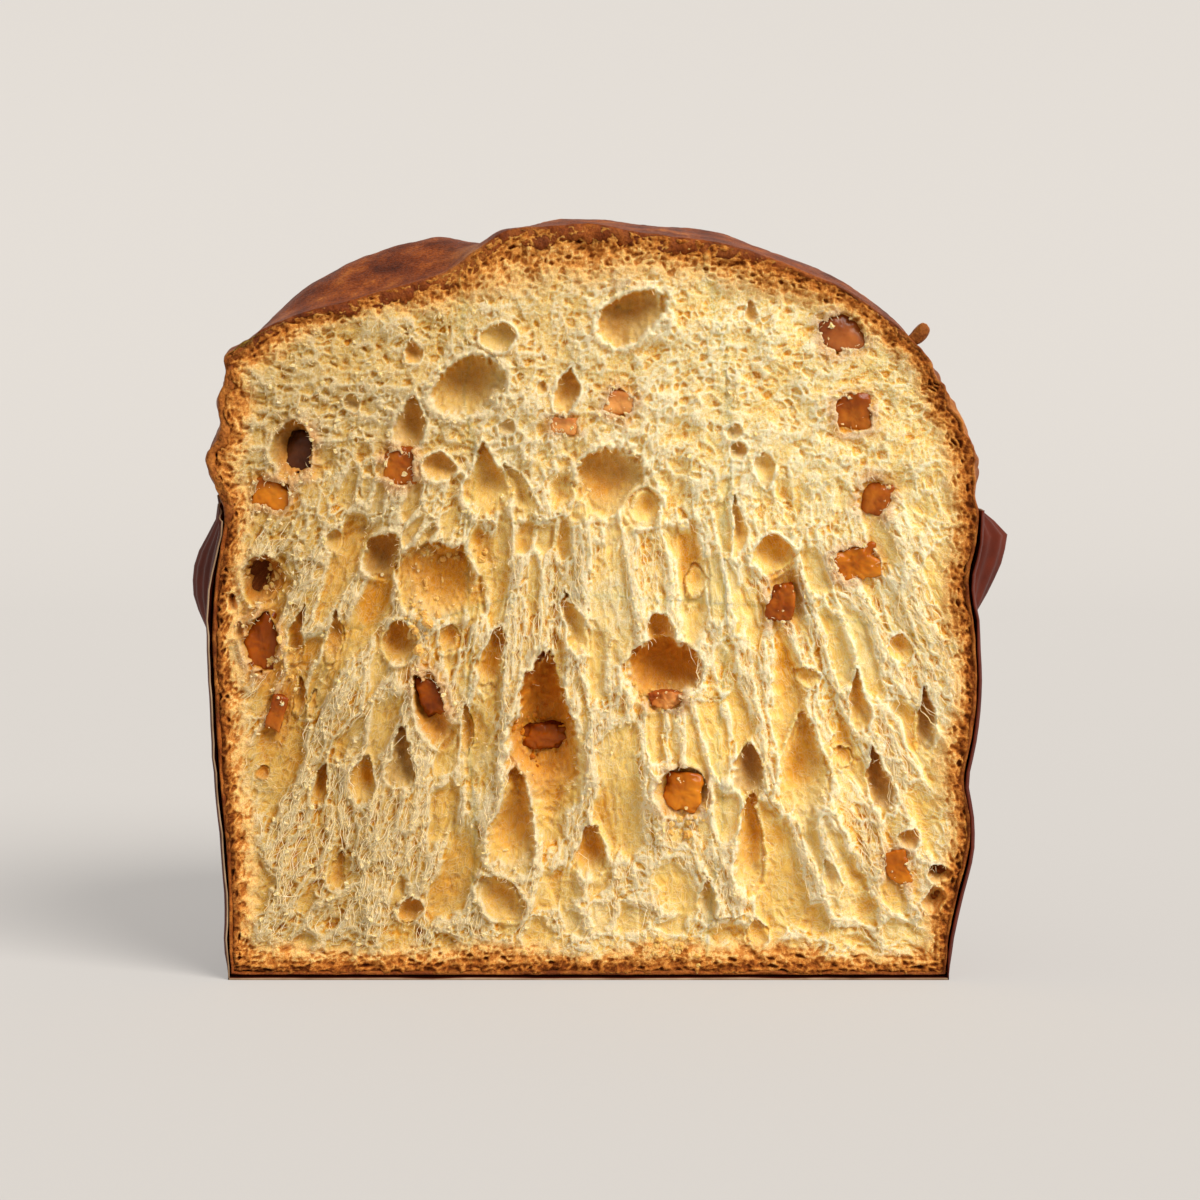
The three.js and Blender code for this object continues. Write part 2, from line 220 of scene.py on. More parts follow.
def skin_distance(directions):
    """How far each ray runs before it leaves the loaf, found by halving."""
    low = np.full(directions.shape[:-1], 10.0)
    high = np.full(directions.shape[:-1], 210.0)
    for _ in range(22):
        middle = (low + high) / 2
        places = HEART + directions * middle[..., None]
        within = inside_loaf(*np.moveaxis(places, -1, 0))
        low, high = np.where(within, middle, low), np.where(within, high, middle)
    return low


def skin_relief(x, y, z):
    """Relief of the crust in mm: level wrinkles and blisters where it baked above the case, small
    crags on the side wall, and fine puckers on the dome."""
    open_wall = rising(CASE_HEIGHT - 2, CASE_HEIGHT + 8, z)
    side = open_wall * falling(140, 152, z)
    blisters = 0.85 * noise(x / 13, y / 13, z / 9 + 5)
    wrinkles = 0.95 * noise(x / 30, y / 30, z / 6 + 20)
    crags = 0.7 * noise(x / 5, y / 5, z / 3.4) + 0.35 * noise(x / 2.1, y / 2.1, z / 1.6)
    puckers = 0.45 * noise(x / 11, y / 11, 3) + 0.2 * noise(x / 4, y / 4, z / 4 + 9)
    fine = 0.1 * noise(x / 1.3, y / 1.3, z / 1.3)
    dome = rising(138, 156, z)
    return open_wall * blisters * (1 - 0.5 * dome) + side * (wrinkles + crags) + dome * puckers + fine


def skin_points(round_angle, lift, inset=0.0):
    """Places on the skin, or under it by inset, along the given rays."""
    directions = ray_directions(round_angle, lift)
    places = HEART + directions * skin_distance(directions)[..., None]
    relief = skin_relief(*np.moveaxis(places, -1, 0))
    return places + directions * (relief - inset)[..., None]


ROUND = np.linspace(-math.pi, math.pi, 4001)
OUTLINE = skin_points(ROUND, np.zeros_like(ROUND))
OUTLINE_REACH = np.hypot(OUTLINE[:, 0] - HEART[0], OUTLINE[:, 2] - HEART[2])
print("outline", OUTLINE.min(0).round(1), OUTLINE.max(0).round(1), "mm")


# %% [markdown]
# ## Turning arrays into pieces
# Every new piece is a closed mesh of quads and triangles, put in from whole arrays. Attributes ride
# on its vertices and tell the materials where it is hollow, toasted or stained.

# %% Mesh helpers
def grid_quads(rows, columns, first=0, closed=False):
    """Corners of the quads of a grid whose points are numbered row by row."""
    across = columns if closed else columns - 1
    r, c = np.meshgrid(np.arange(rows - 1), np.arange(across), indexing="ij")
    right = (c + 1) % columns
    corners = [r * columns + c, r * columns + right, (r + 1) * columns + right, (r + 1) * columns + c]
    return first + np.stack(corners, -1).reshape(-1, 4)


def new_piece(name, points, faces, materials, masks=None, slots=None, flat_from=None):
    """A mesh object from points in loaf millimetres and arrays of three or four corners. Faces
    from number flat_from on are shaded flat. It rides on the body and takes its materials."""
    mesh = bpy.data.meshes.new(name)
    placed = (np.asarray(points, float) + AXIS_SHIFT) * MM
    groups = faces if isinstance(faces, list) else [faces]
    corners = np.concatenate([group.ravel() for group in groups]).astype(np.int32)
    sizes = np.concatenate([np.full(len(group), group.shape[1]) for group in groups])
    mesh.vertices.add(len(placed))
    mesh.vertices.foreach_set("co", placed.astype(np.float32).ravel())
    mesh.loops.add(len(corners))
    mesh.loops.foreach_set("vertex_index", corners)
    mesh.polygons.add(len(sizes))
    mesh.polygons.foreach_set("loop_start", np.concatenate([[0], np.cumsum(sizes)[:-1]]).astype(np.int32))
    smooth = np.ones(len(sizes), bool)
    if flat_from is not None:
        smooth[flat_from:] = False
    mesh.polygons.foreach_set("use_smooth", smooth)
    if slots is not None:
        mesh.polygons.foreach_set("material_index", slots.astype(np.int32))
    mesh.update(calc_edges=True)
    for title, values in (masks or {}).items():
        values = np.asarray(values, np.float32)
        flat = values.ndim == 1
        layer = mesh.attributes.new(title, "FLOAT" if flat else "FLOAT_VECTOR", "POINT")
        layer.data.foreach_set("value" if flat else "vector", values.ravel())
    piece = bpy.data.objects.new(name, mesh)
    bpy.context.scene.collection.objects.link(piece)
    for material in materials:
        mesh.materials.append(material)
    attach(piece, "root")
    triangles = int((sizes - 2).sum())
    print(f"{name}: {len(placed)} points, {triangles} triangles")
    return piece


def blur(values, reach, rounds=2):
    """Moving average over a grid: differences of running sums, along both directions."""
    for _ in range(rounds):
        for axis in (0, 1):
            padded = np.pad(values, [(reach + 1, reach) if k == axis else (0, 0) for k in (0, 1)],
                            mode="edge")
            sums = np.cumsum(padded, axis)
            window = 2 * reach + 1
            ahead = np.take(sums, np.arange(window, window + values.shape[axis]), axis)
            behind = np.take(sums, np.arange(values.shape[axis]), axis)
            values = (ahead - behind) / window
    return values


# %% [markdown]
# ## Materials
# Small helpers keep each node tree readable. What crumb, crust, paper and peel share is a grainy
# surface, so one node group makes that grain, and each material places it at its own scale. The net
# of torn strands is a group too, as it is a pattern with a rule of its own.

# %% Node helpers
def new_tree(name):
    """A new material with an empty node tree."""
    material = bpy.data.materials.new(name)
    material.use_nodes = True
    tree = material.node_tree
    tree.nodes.clear()
    return material, tree


def add(tree, kind, inputs=None, **settings):
    """One node: settings are its properties, inputs are numbers, colours or other nodes' sockets."""
    node = tree.nodes.new(kind)
    for key, value in settings.items():
        setattr(node, key, value)
    for key, value in (inputs or {}).items():
        if isinstance(value, bpy.types.NodeSocket):
            tree.links.new(value, node.inputs[key])
        else:
            node.inputs[key].default_value = value
    return node


def ramp(tree, factor, stops):
    """A colour ramp through (place, (r, g, b)) stops."""
    node = add(tree, "ShaderNodeValToRGB", {"Fac": factor})
    points = node.color_ramp.elements
    while len(points) < len(stops):
        points.new(0.5)
    for point, (place, colour) in zip(points, stops):
        point.position = place
        point.color = (*colour, 1)
    return node.outputs["Color"]


def mix(tree, factor, first, second, blend="MIX"):
    """Two colours blended by a share, plainly or as a product."""
    node = add(tree, "ShaderNodeMix", data_type="RGBA", blend_type=blend)
    for number, value in ((0, factor), (6, first), (7, second)):
        if isinstance(value, bpy.types.NodeSocket):
            tree.links.new(value, node.inputs[number])
        else:
            node.inputs[number].default_value = value if number == 0 else (*value, 1)
    return node.outputs[2]


def mask(tree, name):
    """A number that rides on the vertices."""
    return add(tree, "ShaderNodeAttribute", attribute_name=name).outputs["Fac"]


def maths(tree, operation, *values):
    """One sum or product of numbers and sockets."""
    return add(tree, "ShaderNodeMath", dict(enumerate(values)), operation=operation).outputs[0]


def remap(tree, value, from_min=0.0, from_max=1.0, to_min=0.0, to_max=1.0):
    """A number carried from one range to another, and held inside it."""
    return add(tree, "ShaderNodeMapRange", {
        "Value": value, "From Min": from_min, "From Max": from_max, "To Min": to_min,
        "To Max": to_max}).outputs["Result"]


def relief_bump(tree, height, strength, distance):
    """A normal that shades a height as relief."""
    return add(tree, "ShaderNodeBump", {"Height": height, "Strength": strength,
                                        "Distance": distance}).outputs["Normal"]


def grain_group():
    """Fine open grain: noise at two sizes, put out as a height and as a patchy tone."""
    group = bpy.data.node_groups.new("baked_grain", "ShaderNodeTree")
    for name, kind in (("Vector", "NodeSocketVector"), ("Size", "NodeSocketFloat")):
        group.interface.new_socket(name, in_out="INPUT", socket_type=kind)
    for name in ("Height", "Tone"):
        group.interface.new_socket(name, in_out="OUTPUT", socket_type="NodeSocketFloat")
    source = group.nodes.new("NodeGroupInput")
    result = group.nodes.new("NodeGroupOutput")
    fine = add(group, "ShaderNodeTexNoise",
               {"Vector": source.outputs["Vector"], "Scale": source.outputs["Size"], "Detail": 3.0,
                "Roughness": 0.65})
    coarse = add(group, "ShaderNodeTexNoise",
                 {"Vector": source.outputs["Vector"],
                  "Scale": maths(group, "MULTIPLY", source.outputs["Size"], 0.12), "Detail": 4.0,
                  "Roughness": 0.6})
    group.links.new(fine.outputs["Fac"], result.inputs["Height"])
    group.links.new(coarse.outputs["Fac"], result.inputs["Tone"])
    return group


GRAIN = grain_group()


def lace_group():
    """The net of torn threads: the thin edges of cells at two sizes along the pull of the dough,
    broken up by noise. Places come in as millimetres across and along the pull."""
    group = bpy.data.node_groups.new("torn_lace", "ShaderNodeTree")
    group.interface.new_socket("Vector", in_out="INPUT", socket_type="NodeSocketVector")
    group.interface.new_socket("Mask", in_out="OUTPUT", socket_type="NodeSocketFloat")
    source, result = group.nodes.new("NodeGroupInput"), group.nodes.new("NodeGroupOutput")
    place = source.outputs["Vector"]
    lines = []
    for scale, thickness in ((0.75, 0.09), (1.5, 0.13)):
        edge = add(group, "ShaderNodeTexVoronoi", {"Vector": place, "Scale": scale, "Randomness": 1.0},
                   voronoi_dimensions="2D", feature="DISTANCE_TO_EDGE")
        lines.append(remap(group, edge.outputs["Distance"], 0.0, thickness, 1.0, 0.0))
    broken = add(group, "ShaderNodeTexNoise", {"Vector": place, "Scale": 0.8, "Detail": 3.0})
    shown = remap(group, broken.outputs["Fac"], 0.34, 0.52)
    net = maths(group, "MULTIPLY", maths(group, "MAXIMUM", *lines), shown)
    group.links.new(net, result.inputs["Mask"])
    return group


LACE_GROUP = lace_group()


def place_grain(tree, size):
    """The grain at a size, placed by the object's own coordinates."""
    coordinates = add(tree, "ShaderNodeTexCoord").outputs["Object"]
    node = add(tree, "ShaderNodeGroup", node_tree=GRAIN)
    tree.links.new(coordinates, node.inputs["Vector"])
    node.inputs["Size"].default_value = size
    return node.outputs["Height"], node.outputs["Tone"]


def finish_material(tree, colour, normal, **sockets):
    """The shader itself, with its constants set on its own sockets."""
    shader = add(tree, "ShaderNodeBsdfPrincipled", {"Base Color": colour, "Normal": normal})
    for name, value in sockets.items():
        shader.inputs[name.replace("_", " ")].default_value = value
    output = add(tree, "ShaderNodeOutputMaterial")
    tree.links.new(shader.outputs["BSDF"], output.inputs["Surface"])


# %% Crumb
FRINGE, CREAM, STRAW, GOLD, HONEY, AMBER = (
    (0.98, 0.865, 0.58), (0.94, 0.735, 0.34), (0.93, 0.64, 0.175), (0.84, 0.385, 0.028),
    (0.57, 0.17, 0.005), (0.37, 0.075, 0.002))
LACE = (0.97, 0.84, 0.54)
# The second colour tints amber bubbles and syrup stains and also paints shade under the bowls' upper
# lips. The third is painted shade, multiplied over the left and low side of the face.
STALE, AMBER_STAIN_AND_SHADE, SIDE_SHADE = (0.42, 0.22, 0.09), (0.60, 0.20, 0.015), (0.67, 0.595, 0.485)
CHAR = (0.09, 0.022, 0.005)
TOAST_PALE, TOAST_LIGHT = (0.89, 0.56, 0.20), (0.70, 0.31, 0.070)
TOAST_MID, TOAST_DARK = (0.46, 0.15, 0.024), (0.22, 0.055, 0.009)
SPECKS = [(0.34, (0.66, 0.49, 0.27)), (0.51, (1.0, 1.0, 1.0)), (0.64, (1.10, 1.13, 1.28))]


def crumb_material(name):
    """A near-white fringe on the torn edges, cream and straw behind them, gold to amber in the
    bowls, and toast that ends in char at the skin. The fringe is partly the paler thin walls and
    partly painted highlight on raised places; the gold to amber is partly the crumb's colour and
    partly painted shade in the hollows and pits. The masks on the vertices say which, among them
    painted shade on the left and low side. The net of strands lies over the open crumb, and grain
    breaks up the rest."""
    material, tree = new_tree(name)
    height, tone = place_grain(tree, 4200.0)
    hollow, toasted = mask(tree, "hollow"), mask(tree, "toast")
    open_crumb = maths(tree, "MULTIPLY_ADD", mask(tree, "within"), -0.32, 1.0)
    lace = add(tree, "ShaderNodeGroup", node_tree=LACE_GROUP)
    tree.links.new(add(tree, "ShaderNodeAttribute", attribute_name="pull").outputs["Vector"],
                   lace.inputs["Vector"])
    net = maths(tree, "MULTIPLY", lace.outputs["Mask"], open_crumb)

    # Colour of the crumb by its depth, partly painted shade and highlight, then the net, and what single
    # bubbles and regions add
    depth = maths(tree, "SUBTRACT", maths(tree, "MULTIPLY_ADD", tone, 0.3, hollow), 0.15)
    colour = ramp(tree, depth, [(0.0, FRINGE), (0.11, CREAM), (0.30, STRAW), (0.60, GOLD),
                                (0.85, HONEY), (1.0, AMBER)])
    lace_share = maths(tree, "MULTIPLY", net, remap(tree, hollow, 0.75, 0.2, 0.25, 1.0))
    colour = mix(tree, lace_share, colour, LACE)
    colour = mix(tree, mask(tree, "grey"), colour, STALE)
    # Painted shade: the left and low side of the face are multiplied darker
    colour = mix(tree, mask(tree, "side_shade"), colour, SIDE_SHADE, "MULTIPLY")
    # Amber bubbles and syrup stains, with painted shade: the amber is stronger under the bowls' upper
    # lips
    colour = mix(tree, mask(tree, "amber"), colour, AMBER_STAIN_AND_SHADE)

    # Toast, darker in its pores by the same depth tone, partly painted shade, then char
    pores = maths(tree, "MULTIPLY_ADD", hollow, 0.75, toasted)
    speckled = maths(tree, "MULTIPLY_ADD", tone, -1.3, pores)
    toast = ramp(tree, speckled, [(0.0, TOAST_PALE), (0.28, TOAST_LIGHT), (0.62, TOAST_MID),
                                  (0.9, TOAST_DARK)])
    colour = mix(tree, remap(tree, toasted, from_max=0.6), colour, toast)
    colour = mix(tree, mask(tree, "char"), colour, CHAR)

    # Grain: dark and light specks, and the same height as relief
    speck_share = maths(tree, "MULTIPLY", remap(tree, toasted, to_min=0.5), open_crumb)
    colour = mix(tree, speck_share, colour, ramp(tree, height, SPECKS), "MULTIPLY")
    raised = maths(tree, "MULTIPLY_ADD", maths(tree, "MULTIPLY", height, open_crumb), 0.7, net)
    finish_material(tree, colour, relief_bump(tree, raised, 0.5, 0.0004), Roughness=0.75,
                    Specular_IOR_Level=0.04, Subsurface_Weight=0.5,
                    Subsurface_Radius=(0.0020, 0.0015, 0.0009), Subsurface_Scale=1.0)
    return material


CRUMB = crumb_material("torn crumb")


# %% Crust
def crust_material():
    """Baked skin: red-brown, darkest where it caught the heat, paler where the dough tore while it
    rose, with the low gloss of butter."""
    material, tree = new_tree("baked crust")
    height, tone = place_grain(tree, 1500.0)
    _, patches = place_grain(tree, 420.0)
    colour = ramp(tree, tone, [(0.30, (0.085, 0.016, 0.003)), (0.46, (0.18, 0.037, 0.005)),
                               (0.61, (0.29, 0.072, 0.010)), (0.77, (0.50, 0.17, 0.028))])
    blot = ramp(tree, patches, [(0.35, (0.62, 0.50, 0.45)), (0.65, (1.15, 1.1, 1.0))])
    colour = mix(tree, 0.7, colour, blot, "MULTIPLY")
    pale = ramp(tree, tone, [(0.35, (0.42, 0.12, 0.015)), (0.7, (0.72, 0.32, 0.06))])
    colour = mix(tree, mask(tree, "pale"), colour, pale)
    speck = ramp(tree, height, [(0.36, (0.62, 0.50, 0.42)), (0.60, (1.2, 1.2, 1.2))])
    colour = mix(tree, 0.8, colour, speck, "MULTIPLY")
    finish_material(tree, colour, relief_bump(tree, height, 0.7, 0.0007), Roughness=0.45,
                    Specular_IOR_Level=0.12)
    return material


CRUST = crust_material()


# %% [markdown]
# ## The torn crumb
# The soft crumb tears as the loaf is opened, so the face shows strands and bubbles rather than a
# clean cut. They fan out downwards from the crown: long and hollow below, short and round above.
# Modelling each bubble as a hole would need far more faces than show. A height field over the cut is
# enough: cells at five sizes stretched along the pull, the large bubbles one by one, a pocket for
# each candied piece and a baked band at the skin. It also gives the masks for the colours: the smooth
# films in the bowls, grey and amber bubbles, syrup stains, toast, char, and painted shade, which
# darkens the left and low side of the face and deepens the amber under the bowls' upper lips.

# %% The pull of the dough
FAN_HEIGHT = 235.0  # the strands spread from a point this high above the foot
FAN_SCALE = 165.0
NEAREST = 125.0  # the strands run side by side where the fan's point would be nearer than this
BLEND = 12.0
STRETCH_HEIGHTS = np.linspace(-10, 190, 201)
STRETCH = (1.0 + 2.5 * rising(4, 34, STRETCH_HEIGHTS) * falling(82, 122, STRETCH_HEIGHTS)
           - 0.42 * rising(100, 142, STRETCH_HEIGHTS) - 0.25 * falling(2, 14, STRETCH_HEIGHTS))
FINE_STRETCH = np.where(STRETCH > 1, 1 + 0.3 * (STRETCH - 1), 0.35 + 0.65 * STRETCH)
STRETCHED, FINE_STRETCHED = (
    np.concatenate([[0], np.cumsum(np.diff(STRETCH_HEIGHTS) / stretch[:-1])])
    for stretch in (STRETCH, FINE_STRETCH))


def pull(x, z):
    """Places across and along the strands: the angle seen from the fan's point, whose distance
    never falls under the nearest one, and the height with each stretch of it shortened by how far
    the dough was drawn out there. Fine bubbles are drawn out less, so they have a height of their
    own."""
    away = NEAREST + BLEND * np.logaddexp(0, (FAN_HEIGHT - z - NEAREST) / BLEND)
    across = FAN_SCALE * np.arctan2(x, away)
    return (across, np.interp(z, STRETCH_HEIGHTS, STRETCHED),
            np.interp(z, STRETCH_HEIGHTS, FINE_STRETCHED))


def outline_gap(x, z):
    """Distance from a place in the cut to the outline: along the ray, corrected for its slant,
    and never more than the height above the foot."""
    angle = np.arctan2(z - HEART[2], x - HEART[0])
    reach = np.interp(angle, ROUND, OUTLINE_REACH)
    slope = np.interp(angle, ROUND, np.gradient(blur(OUTLINE_REACH[None], 30)[0], ROUND))
    gap = (reach - np.hypot(x - HEART[0], z - HEART[2])) * reach / np.hypot(reach, slope)
    return np.minimum(gap, np.maximum(z - FOOT, 0))


# %% Large bubbles
# Middle, width, height, depth and tilt of each, then how grey and how amber it is inside
HOLLOWS = np.array([
    [-26.8, 136.6, 17, 13.5, 8, -20, .22, 0], [-20.6, 148.4, 8, 6.5, 3, 0, .1, 0],
    [-40.4, 145.3, 3.7, 5, 3, -20, 0, .45], [-40.4, 128.7, 7.6, 12.6, 6, 10, 0, .35],
    [-33.3, 118, 7, 6, 4, 0, 0, .35], [-23, 115, 9.6, 18, 5.5, -8, 0, 0],
    [-5, 135.4, 5.8, 9.6, 4.5, 15, 0, .35], [-10.7, 136.6, 3, 3, 2, 0, 0, .3],
    [4.5, 115, 17, 15, 7, -25, .3, 0], [12.7, 108.5, 9, 9, 3, 10, 0, 0],
    [-47, 97.7, 9, 11, 6, 10, .4, .15], [-67.7, 123, 9, 14, 7, 5, .55, 0],
    [-58, 101, 3.2, 6, 3, 10, 0, .1], [-34, 92, 19, 19, 6, 0, 0, .3],
    [-15.7, 113, 5, 14, 3.5, -25, 0, 0], [-19.4, 126.8, 3.7, 4.2, 2.5, 0, 0, .2],
    [10.5, 152.8, 18.5, 11.5, 7, -25, .4, 0], [33, 126, 3.7, 4.4, 2.5, 0, 0, .2],
    [34.3, 121, 4.6, 5.2, 3.5, 0, 0, .35], [40.4, 118.7, 4.6, 7, 3, 10, 0, .15],
    [37.4, 153.4, 2.8, 4, 2.5, 10, 0, .3], [42.3, 97.7, 9.4, 8, 4.5, 0, 0, .05],
    [33.7, 103.8, 3.4, 13.6, 3.5, -4, 0, .1], [-75, 92.5, 9.5, 12, 9, -18, .5, .5],
    [-75, 79, 9, 13, 8, 4, 0, .7], [-81.6, 87, 2.2, 5, 4, 0, .3, .6], [-80.4, 81.7, 2.4, 5, 4, 4, .3, .6],
    [-66.4, 79, 4, 13, 4.5, 5, 0, .25], [-59, 78.5, 3.8, 13, 4, 8, .1, .1],
    [-67, 65, 3.8, 11, 4, 15, .1, .2], [-63.3, 64.4, 3.6, 7, 3, 14, 0, .2],
    [-43, 78, 8.6, 9.6, 5, 0, .05, .3], [-36.7, 63, 6, 18, 7, -22, 0, .8],
    [-10.7, 58.5, 15.5, 36, 11, 2, 0, .72], [-17, 36.5, 11.4, 24.7, 8, 4, 0, .12],
    [0.5, 30, 7.4, 15, 6, 0, .1, .15], [-52, 46.4, 6.6, 11, 5, 10, 0, .1],
    [-43, 51.3, 5.6, 15.5, 5, 8, .45, 0], [-28.6, 55.7, 4, 13, 4.5, 6, .1, .05],
    [-22.5, 73.7, 5.8, 16, 5, 12, 0, .1], [-31.8, 78.5, 5, 6.6, 3.5, 0, 0, .2],
    [-61.5, 45, 3.8, 10, 4, 14, 0, .1], [-41, 16.6, 6.2, 5.6, 3.5, 0, 0, .4],
    [-20, 19, 13, 8.4, 5, 25, 0, .12], [-75, 48, 2.8, 4, 3, 0, .2, .5],
    [17.4, 71.8, 18.5, 16, 10, 0, .05, .75], [17, 80.5, 7, 9, 6, -20, 0, .5],
    [21.4, 43.3, 13, 12, 5, 0, 0, .15], [36.7, 48.9, 7.6, 13, 6.5, -4, .6, 0],
    [50, 48.9, 11.5, 25, 4.5, 0, .08, 0], [58.5, 52, 5, 6.5, 3.5, 0, 0, .1],
    [67, 46.4, 5, 16, 6, -8, .55, .3], [78, 60, 4.6, 14, 6, -6, .5, .25],
    [50.4, 70, 6, 5.4, 3, 0, 0, .1], [71.5, 76.7, 5, 9, 3.5, 0, 0, .1],
    [37.4, 31, 7.4, 24, 5.5, 3, .1, .05], [80.5, 24.4, 6, 4, 5, 0, .2, .6],
    [80, 18.5, 4.6, 5.6, 4, 0, .2, .5], [74, 32.8, 5, 4.6, 3.5, 0, .1, .5],
    [39, 11, 6, 5.6, 3, 0, 0, .15], [-3, 82, 5, 15, 4, -12, 0, .05],
    [62, 64, 4, 13, 4, -10, .1, .1], [28, 18, 5, 11, 4, -6, 0, .1],
    [-58, 25, 4.6, 9, 3.5, 16, 0, .1], [56, 24, 4.6, 10, 3.5, -14, 0, .1],
    [25, 92, 5, 10, 3, 8, 0, .05], [-54, 133, 4, 4.6, 2.5, 0, 0, .15]])
print(len(HOLLOWS), "large bubbles, the deepest", HOLLOWS[:, 4].max(), "mm")


def hollow_field(x, z):
    """Each bubble is a bowl with a ragged rim, steep under its upper lip and gentle below. Returns
    the depth of the deepest one at a place, how far inside it is, the nearness of a rim, the grey
    and amber of the bubble, with the amber painted stronger under the upper lip as shade, and how
    close its upper lip is, which the colour uses to paint shade there."""
    depth, within, rim = np.zeros(x.shape), np.zeros(x.shape), np.zeros(x.shape)
    grey, amber, lip = np.zeros(x.shape), np.zeros(x.shape), np.zeros(x.shape)
    ragged = 0.10 * noise(x / 2.3, 1.5, z / 2.8) + 0.09 * noise(x / 0.8, 4.5, z / 1.0)
    bent_x = x + 1.5 * noise(x / 6, 11.5, z / 8) + 0.5 * noise(x / 2.2, 14.5, z / 3)
    bent_z = z + 1.8 * noise(x / 7, 21.5, z / 8) + 0.6 * noise(x / 2.4, 24.5, z / 3)
    for mx, mz, width, height, deep, tilt, greyness, amberness in HOLLOWS:
        turn = math.radians(tilt)
        dx, dz = bent_x - mx, bent_z - mz
        across = (dx * math.cos(turn) - dz * math.sin(turn)) / (width / 2)
        along = (dx * math.sin(turn) + dz * math.cos(turn)) / (height / 2)
        pointed = 0.5 * rising(1.1, 1.9, height / width)
        across = across / np.clip(1 - pointed * along, 0.35, 1.6)
        reach = np.hypot(across, along) + ragged * (1 + 1.2 * (min(width, height) < 6))
        steep = 0.72 - 0.28 * np.clip(along, -1, 1)
        bowl = deep * np.clip(1 - reach**2, 0, 1) ** steep * np.clip(0.9 + 0.35 * along, 0.5, 1.25)
        inner = rising(0, 0.28, 1 - reach)
        deepest = bowl > depth
        depth = np.maximum(depth, bowl)
        within = np.maximum(within, inner)
        rim = np.maximum(rim, np.exp(-(((reach - 1.06) / 0.14) ** 2)) * min(1, width / 8))
        near_lip = np.clip(0.55 + 0.5 * along, 0, 1)
        lip = np.where(deepest, near_lip, lip)
        grey = np.where(deepest, greyness * inner, grey)
        # Amber is painted stronger towards the upper lip, as the shade under it
        amber = np.where(deepest, np.clip(amberness * (0.45 + 0.9 * near_lip), 0, 1) * inner, amber)
    return depth, within, rim, grey, amber, lip


# %% Places of the candied pieces
FLUSH = 0.7  # no piece comes nearer the knife's plane than this
DEEP = 2.0  # a piece whose front lies further back than this sits in a hollow
TILTS = {
    "peel_top_right": -18, "peel_right_upper": -8, "peel_right_middle": 20, "peel_right_lower": -12,
    "peel_right_amber": 8, "peel_centre_rose": 24, "peel_centre_small": 4, "peel_left_jelly": -6,
    "peel_left_crust": 8, "peel_left_side": -4, "peel_left_pale": 16, "peel_left_streak": -22,
    "peel_hollow_orange": 4, "peel_hollow_rim": 4, "peel_low_rose": 10, "peel_right_foot": -14,
    "raisin_left": 4}


def own_size(name):
    """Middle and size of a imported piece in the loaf's millimetres. Its box is wider than the piece
    by what the tilt adds, so two equations in its width and height are solved."""
    low, high = (np.array(corner) / MM - AXIS_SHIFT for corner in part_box(name))
    turn = math.radians(TILTS[name])
    c, s = abs(math.cos(turn)), abs(math.sin(turn))
    box_x, depth, box_z = high - low
    size = np.array([box_x * c - box_z * s, 0, box_z * c - box_x * s]) / (c * c - s * s)
    return (low + high) / 2, size + [0, depth, 0], turn


def visible_front(name):
    """How far behind the knife's plane the front of a piece lies: never proud of the crumb."""
    middle, size, _ = own_size(name)
    return max(middle[1] - size[1] / 2 + CUT_OFFSET, FLUSH)


print(len(TILTS), "candied pieces in the cut")


def pockets(x, z):
    """How far inside the pocket of a candied piece a place is, the depth of that pocket, and the
    nearness of a piece, whose syrup stains the crumb. Pockets are soft squares with torn edges."""
    inside, floor, near = np.zeros(x.shape), np.zeros(x.shape), np.zeros(x.shape)
    torn = 0.18 * noise(x / 2.0, 51.5, z / 2.2) + 0.26 * noise(x / 0.8, 52.5, z / 0.9)
    for name in TILTS:
        middle, size, turn = own_size(name)
        dx, dz = x - middle[0], z - middle[2]
        across = np.abs(dx * math.cos(turn) - dz * math.sin(turn)) / (size[0] / 2)
        along = np.abs(dx * math.sin(turn) + dz * math.cos(turn)) / (size[2] / 2)
        reach = (across**3.5 + along**3.5) ** (1 / 3.5)
        share = rising(-0.03, 0.10, np.minimum(0.88 + torn, 0.97) - reach)
        front = visible_front(name)
        floor = np.where(share > inside, front + (0.7 if front > DEEP else 1.4), floor)
        inside = np.maximum(inside, share)
        near = np.maximum(near, np.exp(-((np.maximum(reach - 1, 0) * size[0] / 2 / 1.6) ** 2)))
    return inside, floor, near * (0.75 + 0.35 * noise(x / 1.6, 29.5, z / 1.6))


